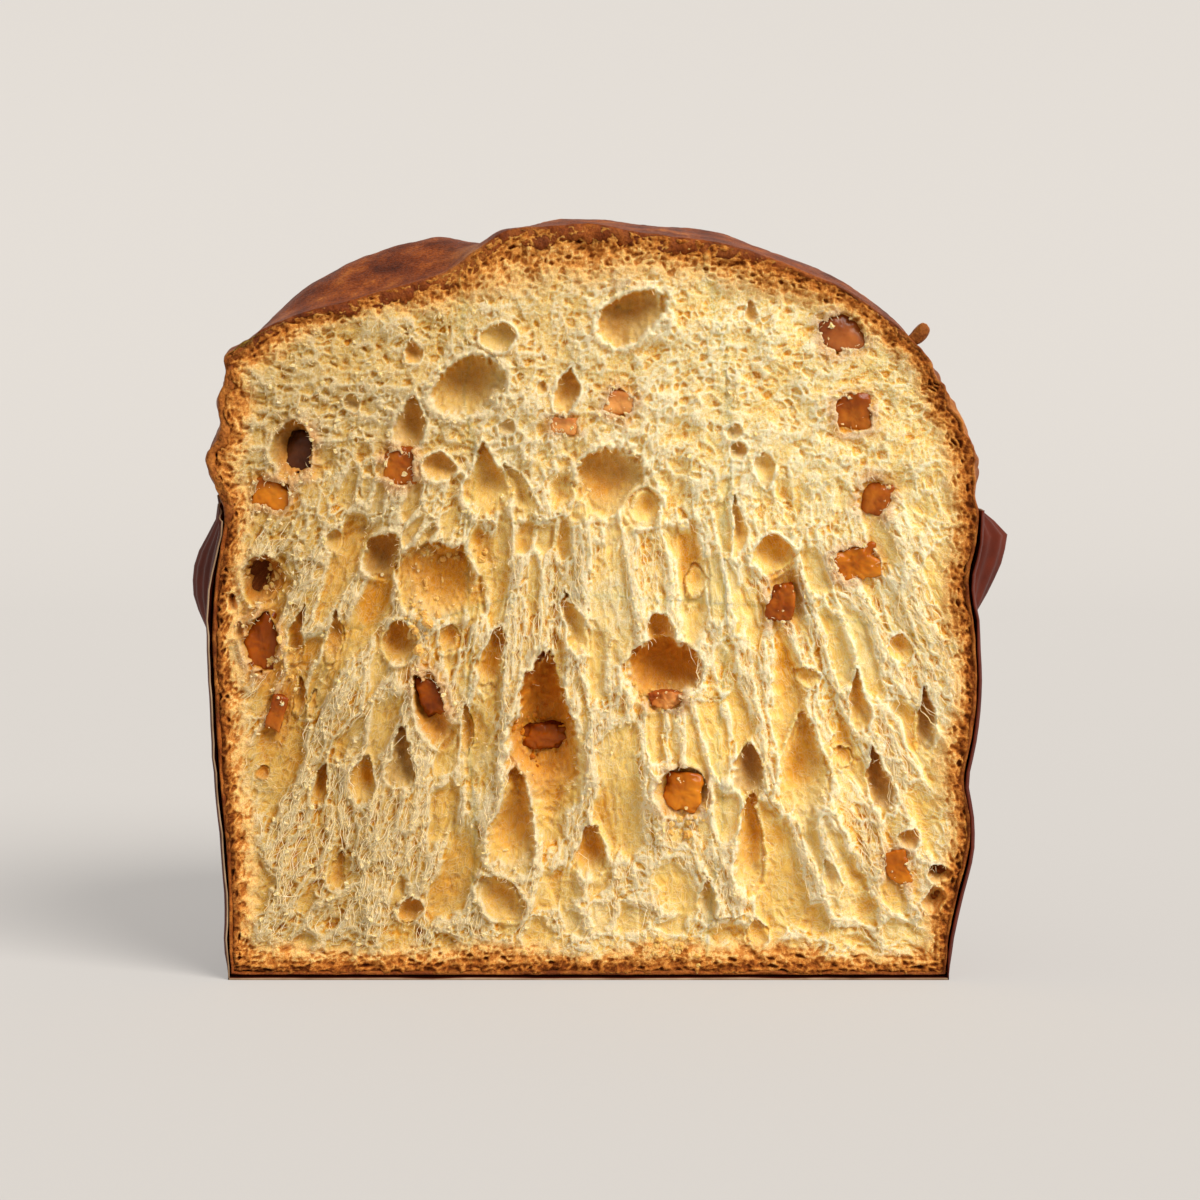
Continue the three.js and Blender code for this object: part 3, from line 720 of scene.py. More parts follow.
# %% Depth of the torn face
def crumb_relief(x, z):
    """How far the crumb lies behind the knife's plane, in mm, with the masks for its colour. It is
    the sum of the large bubbles, five sizes of cells, dents, froth and the baked band, less the
    ridges of the strands and the rims, and at least as deep as the pockets."""
    # Places along the pull, bent so that no strand runs straight
    across, along, fine_along = pull(x, z)
    across = across + 1.5 * noise(x / 9, 2.5, z / 16) + 0.55 * noise(x / 1.8, 8.5, z / 2.6)
    bend = 1.3 * noise(x / 10, 5.5, z / 12) + 0.5 * noise(x / 2, 3.5, z / 2)
    along, fine_along = along + bend, fine_along + 1.4 * bend
    gap = outline_gap(x, z)
    low = falling(96, 138, z + 0.12 * x)
    middle = rising(2, 13, gap)
    hollow, within, rim, grey, amber, lip = hollow_field(x, z)
    even = 1 - 0.2 * rising(-60, 40, x)

    # Bubbles from strand-wide to froth: width in mm, depth, steepness and how wide the wall is
    fluff, film, shade = np.zeros(x.shape), np.zeros(x.shape), np.zeros(x.shape)
    for number, (width, amount, crest, wall_width) in enumerate((
            (9.5, 5.4 * low * middle * even, 1.6, 0.55),
            (5.0, (0.6 + 2.2 * low) * (0.25 + 0.75 * middle) * even, 1.5, 0.45),
            (2.3, 1.0 * even, 2.6, 0.40), (1.2, (0.38 + 0.28 * low) * even, 2.2, 0.38),
            (0.65, (0.18 + 0.08 * low) * even, 1.5, 0.40))):
        height = along if width > 4 else fine_along
        wall, own, above = cells(across / width, height / width, number + 3)
        torn = 0.75 + 0.35 * noise(x / (1.2 * width), number + 0.5, z / (1.2 * width))
        bowl = np.maximum(rising(0.0, wall_width, wall), 1 - torn) * own**crest
        calm = np.maximum(within, film)
        keep = 1 - (0.84 if width > 1.5 else 0.42) * calm
        fluff += amount * keep * bowl
        if width > 4:
            clear = middle if width > 9 else 0.35 + 0.65 * middle
            inside = 0.9 * rising(0.22, 0.55, bowl) * low * clear
            shade = np.where(inside > film, np.clip(0.5 + above, 0, 1), shade)
            film = np.maximum(film, inside)

    # Ridges of the strands, broad dents, and froth that is calmer on the films
    strand = 1 - np.abs(noise(across / 1.5, 6.5, along / 3.2))
    ridges = 0.65 * even * low * middle * strand**4 * (1 - 0.85 * np.maximum(within, film))
    dents = noise(x / 14, 0.5, z / 17)
    pulls = noise(x / 8, 7.5, z / 34) * falling(90, 130, z)
    tear = 1.5 * (0.7 * dents + pulls) * rising(0, 9, gap)
    calm = np.maximum(within, film)
    froth = noise(x / 1.5, 41.5, z / 1.7) + 0.6 * noise(x / 0.7, 42.5, z / 0.75)
    fine = 0.12 * noise(x / 0.42, 9.5, z / 0.45) * (1 - 0.5 * calm) + 0.16 * froth * (1 - 0.5 * calm)
    fine = fine + 0.35 * calm * noise(x / 2.6, 19.5, z / 3.2)
    swellings = 1.2 * noise(x / 7, 43.5, z / 6) + 0.55 * noise(x / 3.1, 45.5, z / 2.8)
    fine = fine + (1 - low) * swellings * rising(0, 6, gap)

    # The baked band: burnt bubbles in layers beside the skin, and char at the very edge
    toast = toast_mask(x, z, gap)
    arc = np.arctan2(z - HEART[2], x) * EDGE_RADIUS
    burnt, burnt_own, _ = cells((arc + 1.6 * gap) / 2.7 + 0.3 * bend, (1.6 * gap - arc) / 2.7, 12)
    layers = noise(arc / 5.5, 27.5, gap / 0.7) + 0.6 * noise(arc / 1.6, 28.5, gap / 0.6)
    pit = toast * rising(0.10, 0.6, burnt) * rising(0.80, 1.0, burnt_own)
    baked = toast * (0.4 * burnt_own * rising(0.05, 0.6, burnt) - 0.2 + 0.34 * layers) + 0.9 * pit
    baked = baked + toast * (0.2 * noise(x / 0.42, 44.5, z / 0.42) + 0.3 * froth)
    rind = gap + 0.5 * noise(arc / 3, 46.5, 0.5) + 0.4 * noise(arc / 0.9, 47.5, gap / 0.5)
    char = np.clip(0.25 * pit + falling(0.4, 1.5 + 1.4 * rising(66, 80, -x), rind)
                   * (0.1 + 0.6 * rising(66, 80, -x) + 0.3 * falling(2, 6, z)), 0, 1)

    # All of it together, with the pockets cut in last
    pocket, pocket_floor, stain = pockets(x, z)
    frayed = 1 + 0.8 * noise(x / 1.1, 17.5, z / 1.3)
    depth = hollow + fluff - ridges - 0.9 * rim * frayed + tear + fine + baked
    depth = np.minimum(depth, 0.9 + 1.3 * np.maximum(gap, 0))
    depth = depth + pocket * np.maximum(pocket_floor - depth, 0)
    lip = np.where(film > within, shade, lip)
    amber = np.maximum(amber, 0.6 * stain)
    # Painted shade: darker towards the left and the bottom, away from the light
    side_shade = falling(-92, 46, x) + 0.15 * rising(60, 84, -x) + 0.24 * falling(10, 95, z)
    outer = falling(0.4, 4.0, rind) * (0.34 - 0.22 * rising(140, 152, z))
    return depth, {"within": calm, "grey": grey, "amber": amber, "toast": toast + outer, "gap": gap,
                   "lip": lip, "side_shade": np.clip(side_shade, 0, 1), "char": char, "pocket": pocket,
                   "pull": np.stack([across, fine_along, 0 * across], -1)}


def toast_mask(x, z, gap):
    """1 at the skin, fading inwards over the baked band, whose edge wanders."""
    band = 3.6 + 1.8 * rising(60, 80, -x) * rising(96, 118, z) + 2.0 * falling(3, 12, z)
    crown = 3.6 * np.exp(-(((x + 8) / 20) ** 2)) + 2.4
    band = band + crown * rising(150, 160, z) + 0.8 * rising(70, 80, np.abs(x))
    band = band + (1.5 + 1.3 * falling(4, 14, z)) * noise(x / 7, 12.5, z / 7)
    band = band + (1.3 + 0.6 * falling(4, 14, z)) * noise(x / 2, 13.5, z / 2)
    return falling(0.35, 2.0, gap / np.maximum(band, 1.2))


# %% Grid of the cut
SKIN_LAP = 0.5  # the crumb's ragged edge stays this far inside the skin on average


def outline_side(first, last, count):
    """Points on the outline between two angles, equally spaced along it."""
    dense = np.linspace(first, last, 3000)
    turned = np.mod(dense + math.pi, 2 * math.pi) - math.pi
    ragged = 0.42 * noise(turned * 55, 0.5, 35.5) + 0.3 * noise(turned * 150, 0.5, 36.5)
    reach = np.interp(turned, ROUND, OUTLINE_REACH) - SKIN_LAP - ragged
    line = np.stack([HEART[0] + reach * np.cos(dense), HEART[2] + reach * np.sin(dense)], -1)
    length = np.concatenate([[0], np.cumsum(np.hypot(*np.diff(line, axis=0).T))])
    even = np.linspace(0, length[-1], count)
    return np.stack([np.interp(even, length, line[:, k]) for k in (0, 1)], -1)


CORNERS = [math.atan2(z - HEART[2], x) for x, z in ((-82.2, FOOT), (82.2, FOOT), (76, 148), (-80, 148.5))]
COLUMNS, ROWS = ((691, 661))
foot_line = outline_side(CORNERS[0], CORNERS[1], COLUMNS)
right_line = outline_side(CORNERS[1], CORNERS[2], ROWS)
crown_line = outline_side(CORNERS[3], CORNERS[2], COLUMNS)
left_line = outline_side(CORNERS[0] + 2 * math.pi, CORNERS[3], ROWS)


def coons_patch(bottom, top, left, right):
    """A grid between four border lines: the two rulings added, less the flat patch through the
    corners."""
    u = np.linspace(0, 1, len(bottom))[None, :, None]
    v = np.linspace(0, 1, len(left))[:, None, None]
    ruled = (1 - v) * bottom[None] + v * top[None] + (1 - u) * left[:, None] + u * right[:, None]
    flat = ((1 - u) * (1 - v) * bottom[0] + u * (1 - v) * bottom[-1] + (1 - u) * v * top[0]
            + u * v * top[-1])
    return ruled - flat


cut_grid = coons_patch(foot_line, crown_line, left_line, right_line)
cut_x, cut_z = cut_grid[..., 0], cut_grid[..., 1]
cut_depth, cut_masks = crumb_relief(cut_x, cut_z)
around = blur(cut_depth, max(2, COLUMNS // 60))
local = cut_depth - around
pits = cut_depth - blur(cut_depth, 2)
# Tone along the crumb's colour ramp. It is partly the crumb's own colour, paler on thin walls and patchy
# at random, and partly painted light: darker and warmer in deep places and small pits as shade, and
# lighter on raised places as highlight.
face_tone = (0.14 + 0.40 * rising(-0.6, 1.8, local) + 0.20 * rising(1.5, 7.0, cut_depth)
             - 0.10 * rising(0.1, 0.9, -local)
             + (0.34 + 0.2 * falling(70, 115, cut_z)) * (rising(-0.22, 0.30, pits) - 0.47))
# In the bowls the tone is painted darker with depth and under the upper lip, as shade
bowl_tone = 0.20 + (0.22 * rising(0.5, 8, cut_depth) + 0.34 * cut_masks["lip"] * rising(0.5, 5, cut_depth)
                    ) * (1 - 0.35 * rising(105, 130, cut_z))
patchy = 0.10 * noise(cut_x / 9, 31.5, cut_z / 11) + 0.12 * noise(cut_x / 3.4, 32.5, cut_z / 4.2)
hollow_tone = face_tone + cut_masks["within"] * (bowl_tone - face_tone) + patchy
print("crumb depth from", cut_depth.min().round(2), "to", cut_depth.max().round(2), "mm")


# %% Slabs of crumb
SLAB_BACK = 16.0  # the slabs end this far behind the knife's plane


def crumb_slab(name, rows, columns):
    """A part of the face as a closed slab: its front is the grid, its sides run straight back from
    the grid's border, and a fan closes the back."""
    x, z = cut_x[rows, columns], cut_z[rows, columns]
    depth = cut_depth[rows, columns]
    count_r, count_c = x.shape
    front = np.stack([x, -CUT_OFFSET + depth, z], -1).reshape(-1, 3)
    number = np.arange(count_r * count_c).reshape(count_r, count_c)
    ring = np.concatenate([number[0, :-1], number[:-1, -1], number[-1, :0:-1], number[:0:-1, 0]])
    gap = cut_masks["gap"][rows, columns].ravel()[ring]
    back = front[ring].copy()
    back[:, 1] = np.maximum(-CUT_OFFSET + 2 + 12 * rising(0.5, 12, gap), front[ring, 1] + 0.6)
    middle = np.array([[x.mean(), -CUT_OFFSET + SLAB_BACK, z.mean()]])
    back_number = len(front) + np.arange(len(ring))
    after = np.roll(np.arange(len(ring)), -1)
    sides = np.stack([ring[after], ring, back_number, back_number[after]], -1)
    fan = np.stack([back_number[after], back_number, np.full(len(ring), len(front) + len(ring))], -1)
    quads = grid_quads(count_r, count_c)
    masks = {"hollow": hollow_tone[rows, columns].ravel()}
    for key in ("toast", "char", "grey", "amber", "within", "side_shade"):
        masks[key] = cut_masks[key][rows, columns].ravel()
    masks["pull"] = cut_masks["pull"][rows, columns].reshape(-1, 3)
    extended = {key: np.concatenate([value, value[ring], value[:1]]) for key, value in masks.items()}
    piece = new_piece(name, np.concatenate([front, back, middle]), [quads, sides, fan], [CRUMB],
                      extended, flat_from=len(quads))
    sharpen(piece.data, len(front), ring)
    return piece


def sharpen(mesh, front_count, ring):
    """Marks the slab's border edges sharp, so that the front is shaded as if it went on."""
    ends = np.zeros(2 * len(mesh.edges), np.int32)
    mesh.edges.foreach_get("vertices", ends)
    on_ring = np.zeros(len(mesh.vertices), bool)
    on_ring[ring] = True
    on_ring[front_count:] = True
    ends = ends.reshape(-1, 2)
    mesh.edges.foreach_set("use_edge_sharp", on_ring[ends[:, 0]] & on_ring[ends[:, 1]])


row_cuts = np.linspace(0, ROWS - 1, 3).astype(int)
column_cuts = np.linspace(0, COLUMNS - 1, 4).astype(int)
slabs = []
for r, level in enumerate(("lower", "upper")):
    for c, side in enumerate(("left", "middle", "right")):
        slabs.append(crumb_slab(f"crumb_{level}_{side}", slice(row_cuts[r], row_cuts[r + 1] + 1),
                                slice(column_cuts[c], column_cuts[c + 1] + 1)))
for slab in slabs:
    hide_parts("bread")

# %% [markdown]
# ## Torn threads
# Where the dough tore, fine threads still bridge the hollows, short ends curl at every rim and loose
# tufts lie on the ridges. Hair would be lost on the way to other tools, so each thread is a thin
# three-sided tube that tapers to nothing, and each tuft a small ragged ball. The long ones follow
# the pull and hang between two high places, so the candidates whose middle lies deepest under them
# are kept, away from the toast and the candied pieces. Ends and tufts sit on the proudest places.

# %% Tubes
NEVER = -99.0  # the worth of a place where no thread may start


def tubes(name, lines, radius, material, masks_at):
    """Tubes round many lines at once. lines holds (number, steps, 3) places; each step gets three
    points round the line's own direction, and the thickness runs as half a sine to both ends."""
    count, steps, _ = lines.shape
    along = np.gradient(lines, axis=1)
    along /= np.linalg.norm(along, axis=-1, keepdims=True) + 1e-9
    side = np.cross(along, np.array([0.3, 1.0, 0.2]))
    side /= np.linalg.norm(side, axis=-1, keepdims=True) + 1e-9
    up = np.cross(along, side)
    taper = np.sin(np.linspace(0.12, math.pi - 0.12, steps)) ** 0.6
    thick = radius[:, None] * taper[None]
    turns = np.arange(3) * 2 * math.pi / 3
    rings = (lines[:, :, None] + thick[..., None, None] * (
        np.cos(turns)[:, None] * side[:, :, None] + np.sin(turns)[:, None] * up[:, :, None]))
    first = (np.arange(count) * steps * 3)[:, None, None]
    step, corner = np.meshgrid(np.arange(steps - 1), np.arange(3), indexing="ij")
    after = (corner + 1) % 3
    walls = np.stack([step * 3 + corner, step * 3 + after, step * 3 + 3 + after,
                      step * 3 + 3 + corner], -1).reshape(1, -1, 4) + first
    ends = np.array([[2, 1, 0], [steps * 3 - 3, steps * 3 - 2, steps * 3 - 1]])[None] + first
    masks = {key: np.repeat(value.ravel(), 3) for key, value in masks_at.items()}
    return new_piece(name, rings.reshape(-1, 3), [walls.reshape(-1, 4), ends.reshape(-1, 3)],
                     [material], masks, flat_from=0)


def scattered(rng, count):
    """Places spread evenly over the cut, clear of its edge."""
    x, z = rng.uniform(-86, 90, count), rng.uniform(3, 174, count)
    clear = outline_gap(x, z) > 2.5
    return x[clear], z[clear]


def torn_threads(name, count, seed, lengths, thickness, spread, steps=7):
    """Threads that bridge the narrow hollows along the pull, in the drawn-out lower part."""
    rng = np.random.default_rng(seed)
    x, z = scattered(rng, 9 * count)
    length = rng.uniform(*lengths, len(x))
    lean = np.arctan2(x, FAN_HEIGHT - z) + rng.normal(0, spread, len(x))
    s = np.linspace(-0.5, 0.5, steps)[None]
    sway = rng.normal(0, 0.10, (len(x), 1)) * np.cos(math.pi * s) + rng.normal(0, 0.035, (len(x), steps))
    line_x = x[:, None] + length[:, None] * (s * np.sin(lean)[:, None] + sway * np.cos(lean)[:, None])
    line_z = z[:, None] - length[:, None] * (s * np.cos(lean)[:, None] - sway * np.sin(lean)[:, None])
    depth, masks = crumb_relief(line_x, line_z)
    chord = depth[:, :1] + (depth[:, -1:] - depth[:, :1]) * (s + 0.5)
    bridging = (depth - chord).mean(1) - 0.35 * np.abs(depth[:, 0] - depth[:, -1]) - 0.12 * chord.mean(1)
    bridging -= 3.0 * masks["within"].mean(1) + 2.0 * rising(92, 122, z)
    bridging[(masks["gap"].min(1) < 2.5) | (masks["toast"].max(1) > 0.3)
             | (masks["pocket"].max(1) > 0.1)] = NEVER
    best = np.argsort(-bridging)[:count]
    y = -CUT_OFFSET + np.minimum(chord, depth) - 0.05
    lines = np.stack([line_x, y, line_z], -1)[best]
    radius = rng.uniform(*thickness, len(x))[best]
    tint = {"toast": masks["toast"][best], "hollow": 0.35 * rng.random((len(best), steps))}
    return tubes(name, lines, radius, THREAD, tint)


def proud_places(rng, count, tries=6):
    """The places that stand highest over what lies round them: ridges and the rims of hollows."""
    x, z = scattered(rng, tries * count)
    root, masks = crumb_relief(x, z)
    ring = [crumb_relief(x + dx, z + dz)[0] for dx, dz in ((1.4, 0), (-1.4, 0), (0, 1.8), (0, -1.8))]
    proud = np.mean(ring, 0) - root - 0.05 * root + 0.5 * rng.random(len(x))
    proud[(masks["gap"] < 1.5) | (masks["toast"] > 0.5)] = NEVER
    best = np.argsort(-proud)[:count]
    return x[best], z[best], root[best], masks["toast"][best]


def curled_ends(name, count, seed, lengths, thickness, steps=5):
    """Short ends that stand off the high places and curl over."""
    rng = np.random.default_rng(seed)
    x, z, root, toast = proud_places(rng, count)
    length = rng.uniform(*lengths, count)[:, None]
    heading = rng.uniform(0, 2 * math.pi, count)[:, None]
    curl = rng.normal(0, 2.4, count)[:, None]
    s = np.linspace(0, 1, steps)[None]
    turn = heading + curl * s
    line_x = x[:, None] + np.cumsum(np.cos(turn), 1) * length / steps
    line_z = z[:, None] + np.cumsum(np.sin(turn), 1) * length / steps
    lift = rng.uniform(0.1, 0.8, count)[:, None] * length * np.sin(0.5 * math.pi * s)
    lines = np.stack([line_x, -CUT_OFFSET + root[:, None] + 0.15 - lift, line_z], -1)
    radius = rng.uniform(*thickness, count)
    tint = {"toast": np.repeat(toast, steps), "hollow": 0.3 * rng.random(count * steps)}
    return tubes(name, lines, radius, THREAD, tint)


def tufts(name, x, y, z, size, toast, seed, material, down=5, round_=7, rough=0.45):
    """Loose tufts: small balls in latitude and longitude whose every point is pushed in or out at
    random, so that each is a ragged lump."""
    rng = np.random.default_rng(seed)
    count = len(x)
    tip, turn = np.meshgrid(np.linspace(0, math.pi, down + 2)[1:-1],
                            np.linspace(0, 2 * math.pi, round_, endpoint=False), indexing="ij")
    ball = np.stack([np.sin(tip) * np.cos(turn), np.cos(tip), np.sin(tip) * np.sin(turn)], -1)
    ball = np.concatenate([ball.reshape(-1, 3), [[0, 1, 0], [0, -1, 0]]])
    push = 1 + rough * rng.normal(0, 1, (count, len(ball), 1)).clip(-1.6, 2.2)
    squash = rng.uniform(0.6, 1.4, (count, 1, 3)) * [1, 0.8, 1]
    points = np.stack([x, y, z], -1)[:, None] + ball * push * squash * size[:, None, None]
    first = (np.arange(count) * len(ball))[:, None, None]
    here = np.arange(round_)
    after = (here + 1) % round_
    last = (down - 1) * round_
    quads = grid_quads(down, round_, closed=True)[None, :, ::-1] + first
    caps = np.concatenate([np.stack([here, after, np.full(round_, down * round_)], -1),
                           np.stack([last + after, last + here, np.full(round_, down * round_ + 1)], -1)])
    spread = {"toast": np.repeat(toast, len(ball)), "hollow": 0.4 * rng.random(count * len(ball))}
    faces = [quads.reshape(-1, 4), (caps[None] + first).reshape(-1, 3)]
    return new_piece(name, points.reshape(-1, 3), faces, [material], spread,
                     flat_from=0 if rough > 0.2 else None)


# %% Threads, curls and tufts
def thread_material():
    """The same crumb, pulled thin: cream with a touch of gold, toasted near the crust."""
    material, tree = new_tree("pulled threads")
    height, _ = place_grain(tree, 2000.0)
    colour = ramp(tree, mask(tree, "hollow"), [(0.0, LACE), (0.4, STRAW)])
    colour = mix(tree, mask(tree, "toast"), colour, TOAST_LIGHT)
    finish_material(tree, colour, relief_bump(tree, height, 0.3, 0.0002), Roughness=0.75,
                    Specular_IOR_Level=0.04, Subsurface_Weight=0.3,
                    Subsurface_Radius=(0.0035, 0.0018, 0.0006), Subsurface_Scale=1.0)
    return material


THREAD = thread_material()
tuft_x, tuft_z, tuft_root, tuft_toast = proud_places(np.random.default_rng(34), 1700)
tuft_size = np.random.default_rng(35).uniform(0.12, 0.42, len(tuft_x))
pulled = [
    torn_threads("bridging_threads", 1700, 31, (2.5, 8.0), (0.055, 0.12), 0.3),
    curled_ends("curled_ends", 7500, 33, (0.5, 2.0), (0.04, 0.085)),
    curled_ends("loose_fibres", 10, 37, (3.0, 6.0), (0.07, 0.12), steps=14),
    tufts("torn_tufts", tuft_x, -CUT_OFFSET + tuft_root - 0.1, tuft_z, tuft_size, tuft_toast, 36, THREAD),
]

# %% [markdown]
# ## Crust
# The crust is the browned skin of the bread, a shell about a millimetre thick. It could be painted
# on the crumb's edge, but its thickness shows where it ends at the cut, so it is a closed shell of its
# own. Its rays are closer together above the case, where it shows, than on the wall that the paper
# hides. At the cut it lays a ragged lip over the crumb, broad at the crown, and on the right shoulder
# a burst blister stands off it.

# %% Crust shell
CRUST_THICKNESS = 1.1
AROUND = 900
LIFTS = np.concatenate([[0.002], np.linspace(0.012, 1.2, 92), np.linspace(1.22, 1.54, 6)])


def crust_angles(count):
    """Angles round the cut, from the lower left over the crown to the lower right and back along
    the foot, two thirds of them above the case."""
    low_right = math.atan2(98 - HEART[2], EDGE_RADIUS)
    above = np.linspace(low_right, math.pi - low_right, 2 * count // 3, endpoint=False)
    below = np.linspace(math.pi - low_right, 2 * math.pi + low_right, count - len(above), endpoint=False)
    return np.concatenate([above, below])


def cut_lip(edge):
    """Five rows that run from inside the cut to the shell's front edge. The lip is broad at the
    crown and on the upper left, narrow elsewhere, and noise frays its width and its height."""
    arc = angles * EDGE_RADIUS
    x, _, z = edge.T
    width = (1.0 + 3.4 * rising(148, 158, z) * rising(-72, -45, x) * falling(15, 62, x)
             + 2.0 * falling(-76, -60, x) * rising(104, 114, z))
    width = width * (1 + 0.45 * noise(arc / 6, 3.5, 8.5) + 0.4 * noise(arc / 2, 4.5, 8.5)
                     + 0.25 * noise(arc / 0.8, 5.5, 8.5))
    share = np.array([1.0, 0.88, 0.6, 0.35, 0.12])[:, None]
    behind = np.array([1.6, 0.35, 0.05, 0.0, 0.15])[:, None]
    lip = np.repeat(edge[None], 5, 0)
    outwards = np.stack([np.cos(angles), 0 * angles, np.sin(angles)], -1)
    lip -= outwards * (np.maximum(width, 0.35) * share)[..., None]
    waves = (0.6 * noise(arc / 4, share * 2.5, 2.5) + 0.5 * noise(arc / 1.5, share * 4, 3.5)
             + 0.25 * noise(arc / 0.8, share * 6, 4.5))
    lip[..., 1] = -CUT_OFFSET + behind + waves * rising(0.4, 1.5, width)
    return lip


angles = crust_angles(AROUND)
outer = skin_points(*np.meshgrid(angles, LIFTS))
inner = skin_points(*np.meshgrid(angles, LIFTS[[0, 6, 30, 60, -1]]), inset=CRUST_THICKNESS)
frill = 0.5 * noise(angles * 30, 3.5, 0.5) + 0.35 * noise(angles * 90, 6.5, 0.5)
outer[0, :, 1] = -CUT_OFFSET + 0.5 + 0.5 * frill
outer[1, :, 1] = np.maximum(outer[1, :, 1], outer[0, :, 1] + 0.25)
inner[0, :, 1] = -CUT_OFFSET + 0.9 + 0.5 * frill
outer = np.concatenate([cut_lip(outer[0]), outer])
pole = np.array([0.0]), np.array([math.pi / 2])
pole_out, pole_in = skin_points(*pole), skin_points(*pole, inset=CRUST_THICKNESS)


def crust_shell():
    """Outer grid with the lip that it lays over the cut, inner grid turned round, a strip that
    joins their front borders, and a fan at the back of each."""
    outer_points, inner_points = outer.reshape(-1, 3), inner.reshape(-1, 3)
    count = len(angles)
    start = len(outer_points)
    after = (np.arange(count) + 1) % count
    here = np.arange(count)
    rim = np.stack([here, start + here, start + after, after], -1)
    outer_pole, inner_pole = start + len(inner_points), start + len(inner_points) + 1
    last_out, last_in = start - count, start + len(inner_points) - count
    out_fan = np.stack([last_out + here, last_out + after, np.full(count, outer_pole)], -1)
    in_fan = np.stack([last_in + after, last_in + here, np.full(count, inner_pole)], -1)
    outer_quads = grid_quads(len(outer), count, closed=True)
    inner_quads = grid_quads(len(inner), count, start, closed=True)[:, ::-1]
    points = np.concatenate([outer_points, inner_points, pole_out, pole_in])

    # Paler where the dough tore while it rose: on the open side wall, in the fold and at the cut
    x, y, z = points.T
    behind = y + CUT_OFFSET
    side = rising(CASE_HEIGHT - 8, CASE_HEIGHT + 6, z) * falling(138, 150, z)
    fold = np.exp(-(((x - fold_line(behind)) / 9) ** 2)) * rising(140, 158, z)
    edge = (0.36 - 0.24 * rising(140, 156, z)) * falling(0.2, 2.5, behind)
    torn = rising(0.1, 0.7, noise(x / 7, y / 7, z / 6) + 0.5 * noise(x / 2.5, y / 2.5, z / 2.5))
    flecks = 0.25 + 0.9 * rising(-0.3, 0.6, noise(x / 3, y / 3, z / 3) + 0.6 * noise(x, y, z))
    pale = np.clip(0.2 * side + torn * (0.5 * side + 0.45 * fold) + edge * flecks, 0, 1)
    return new_piece("crust", points, [outer_quads, inner_quads, rim, out_fan, in_fan], [CRUST],
                     {"pale": pale})


crust = crust_shell()
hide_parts("bread")


# %% Spur of crust
def spur():
    """A blister that burst and stands off the right shoulder: rings along a bent line, widest near
    the tip, with both ends closed by a point."""
    steps, sides = 26, 24
    along = np.linspace(0, 1, steps)[:, None]
    turn = np.linspace(0, 2 * math.pi, sides, endpoint=False)[None]
    line = np.stack([72.6 + 5.0 * along - 0.6 * along**2, -8.2 - 0.8 * along,
                     146.6 + 1.8 * along + 2.6 * along**2], -1)
    thick = 1.75 * np.sqrt(np.clip(1 - (2 * along - 1) ** 4, 0.002, 1)) * (0.8 + 0.3 * along)
    thick = thick * (1 + 0.14 * noise(5 * along, 2 * np.cos(turn), 2 * np.sin(turn)))
    rings = line + np.stack([0.75 * thick * np.cos(turn), thick * np.sin(turn),
                             -0.6 * thick * np.cos(turn)], -1)
    points = np.concatenate([rings.reshape(-1, 3), line[0], line[-1]])
    here = np.arange(sides)
    after = (here + 1) % sides
    last, first_end = (steps - 1) * sides, steps * sides
    ends = [np.stack([here, after, np.full(sides, first_end)], -1),
            np.stack([last + after, last + here, np.full(sides, first_end + 1)], -1)]
    return new_piece("crust_spur", points, [grid_quads(steps, sides, closed=True)[:, ::-1], *ends],
                     [CRUST], {"pale": np.full(len(points), 0.3)})


blister = spur()

# %% [markdown]
# ## Paper case
# The case is a cup of fluted baking paper that was cut with the loaf. A thickened sheet would leave
# its ends open, so the outer and the inner wall are worked out apart and joined by a rim, a floor
# and two cut ends. It is swept round the middle of the cut rather than round the axis, so that both
# ends lie in the knife's plane.

# %% Paper materials
def paper_material(name, dark, light, roughness):
    """Baking paper: two browns that wander through the sheet, and a faint grain."""
    material, tree = new_tree(name)
    height, tone = place_grain(tree, 900.0)
    colour = ramp(tree, tone, [(0.3, dark), (0.7, light)])
    finish_material(tree, colour, relief_bump(tree, height, 0.25, 0.0002), Roughness=roughness,
                    Specular_IOR_Level=0.08)
    return material


PAPER_SKIN = paper_material("baking paper", (0.062, 0.009, 0.004), (0.13, 0.019, 0.007), 0.42)
PAPER_CORE = paper_material("cut paper edge", (0.20, 0.11, 0.055), (0.46, 0.32, 0.20), 0.8)

# %% Paper shape
PAPER = 0.35  # thickness
FLOOR_TOP = 0.45
WALL_RADIUS = 92.0
FLUTE_PITCH = 3.1
FLUTE_DEPTH = 0.55
FLARE_RIGHT, FLARE_LEFT = 12.2, 8.6  # how far the rim stands off the bread at each end


def paper_bulge(angle, z):
    """Room between paper and bread: a kinked flare under the rim on the right, a soft one on the
    left, and a little slack all round."""
    from_right = np.degrees(np.arctan2(np.sin(angle), np.cos(angle)))
    from_left = np.degrees(np.arctan2(np.sin(angle), -np.cos(angle)))
    kink = np.minimum(rising(73, 95, z), 1 - 0.7 * rising(101, CASE_HEIGHT, z))
    swell = (0.28 + 0.72 * rising(72, 90, z)) * (1 - 0.5 * rising(94, CASE_HEIGHT, z))
    right = FLARE_RIGHT * np.exp(-(((from_right - 14) / 5.5) ** 2)) * kink
    left = FLARE_LEFT * np.exp(-(((from_left - 12) / 6) ** 2)) * swell
    wavy = noise(2.5 * np.cos(angle), 2.5 * np.sin(angle), z / 30)
    slack = 0.2 * (1 + wavy) * rising(3, 16, from_right)
    return right + left + slack


def paper_radius(angle, z):
    """Inside of the wall: just clear of the widest bread at a height, plus the bulge."""
    height = np.maximum(z, 4)
    above = np.minimum(height + 2, 109)
    bread = np.maximum(loaf_radius(np.cos(angle), height), loaf_radius(np.cos(angle), above))
    return bread + 0.05 + paper_bulge(angle, height)


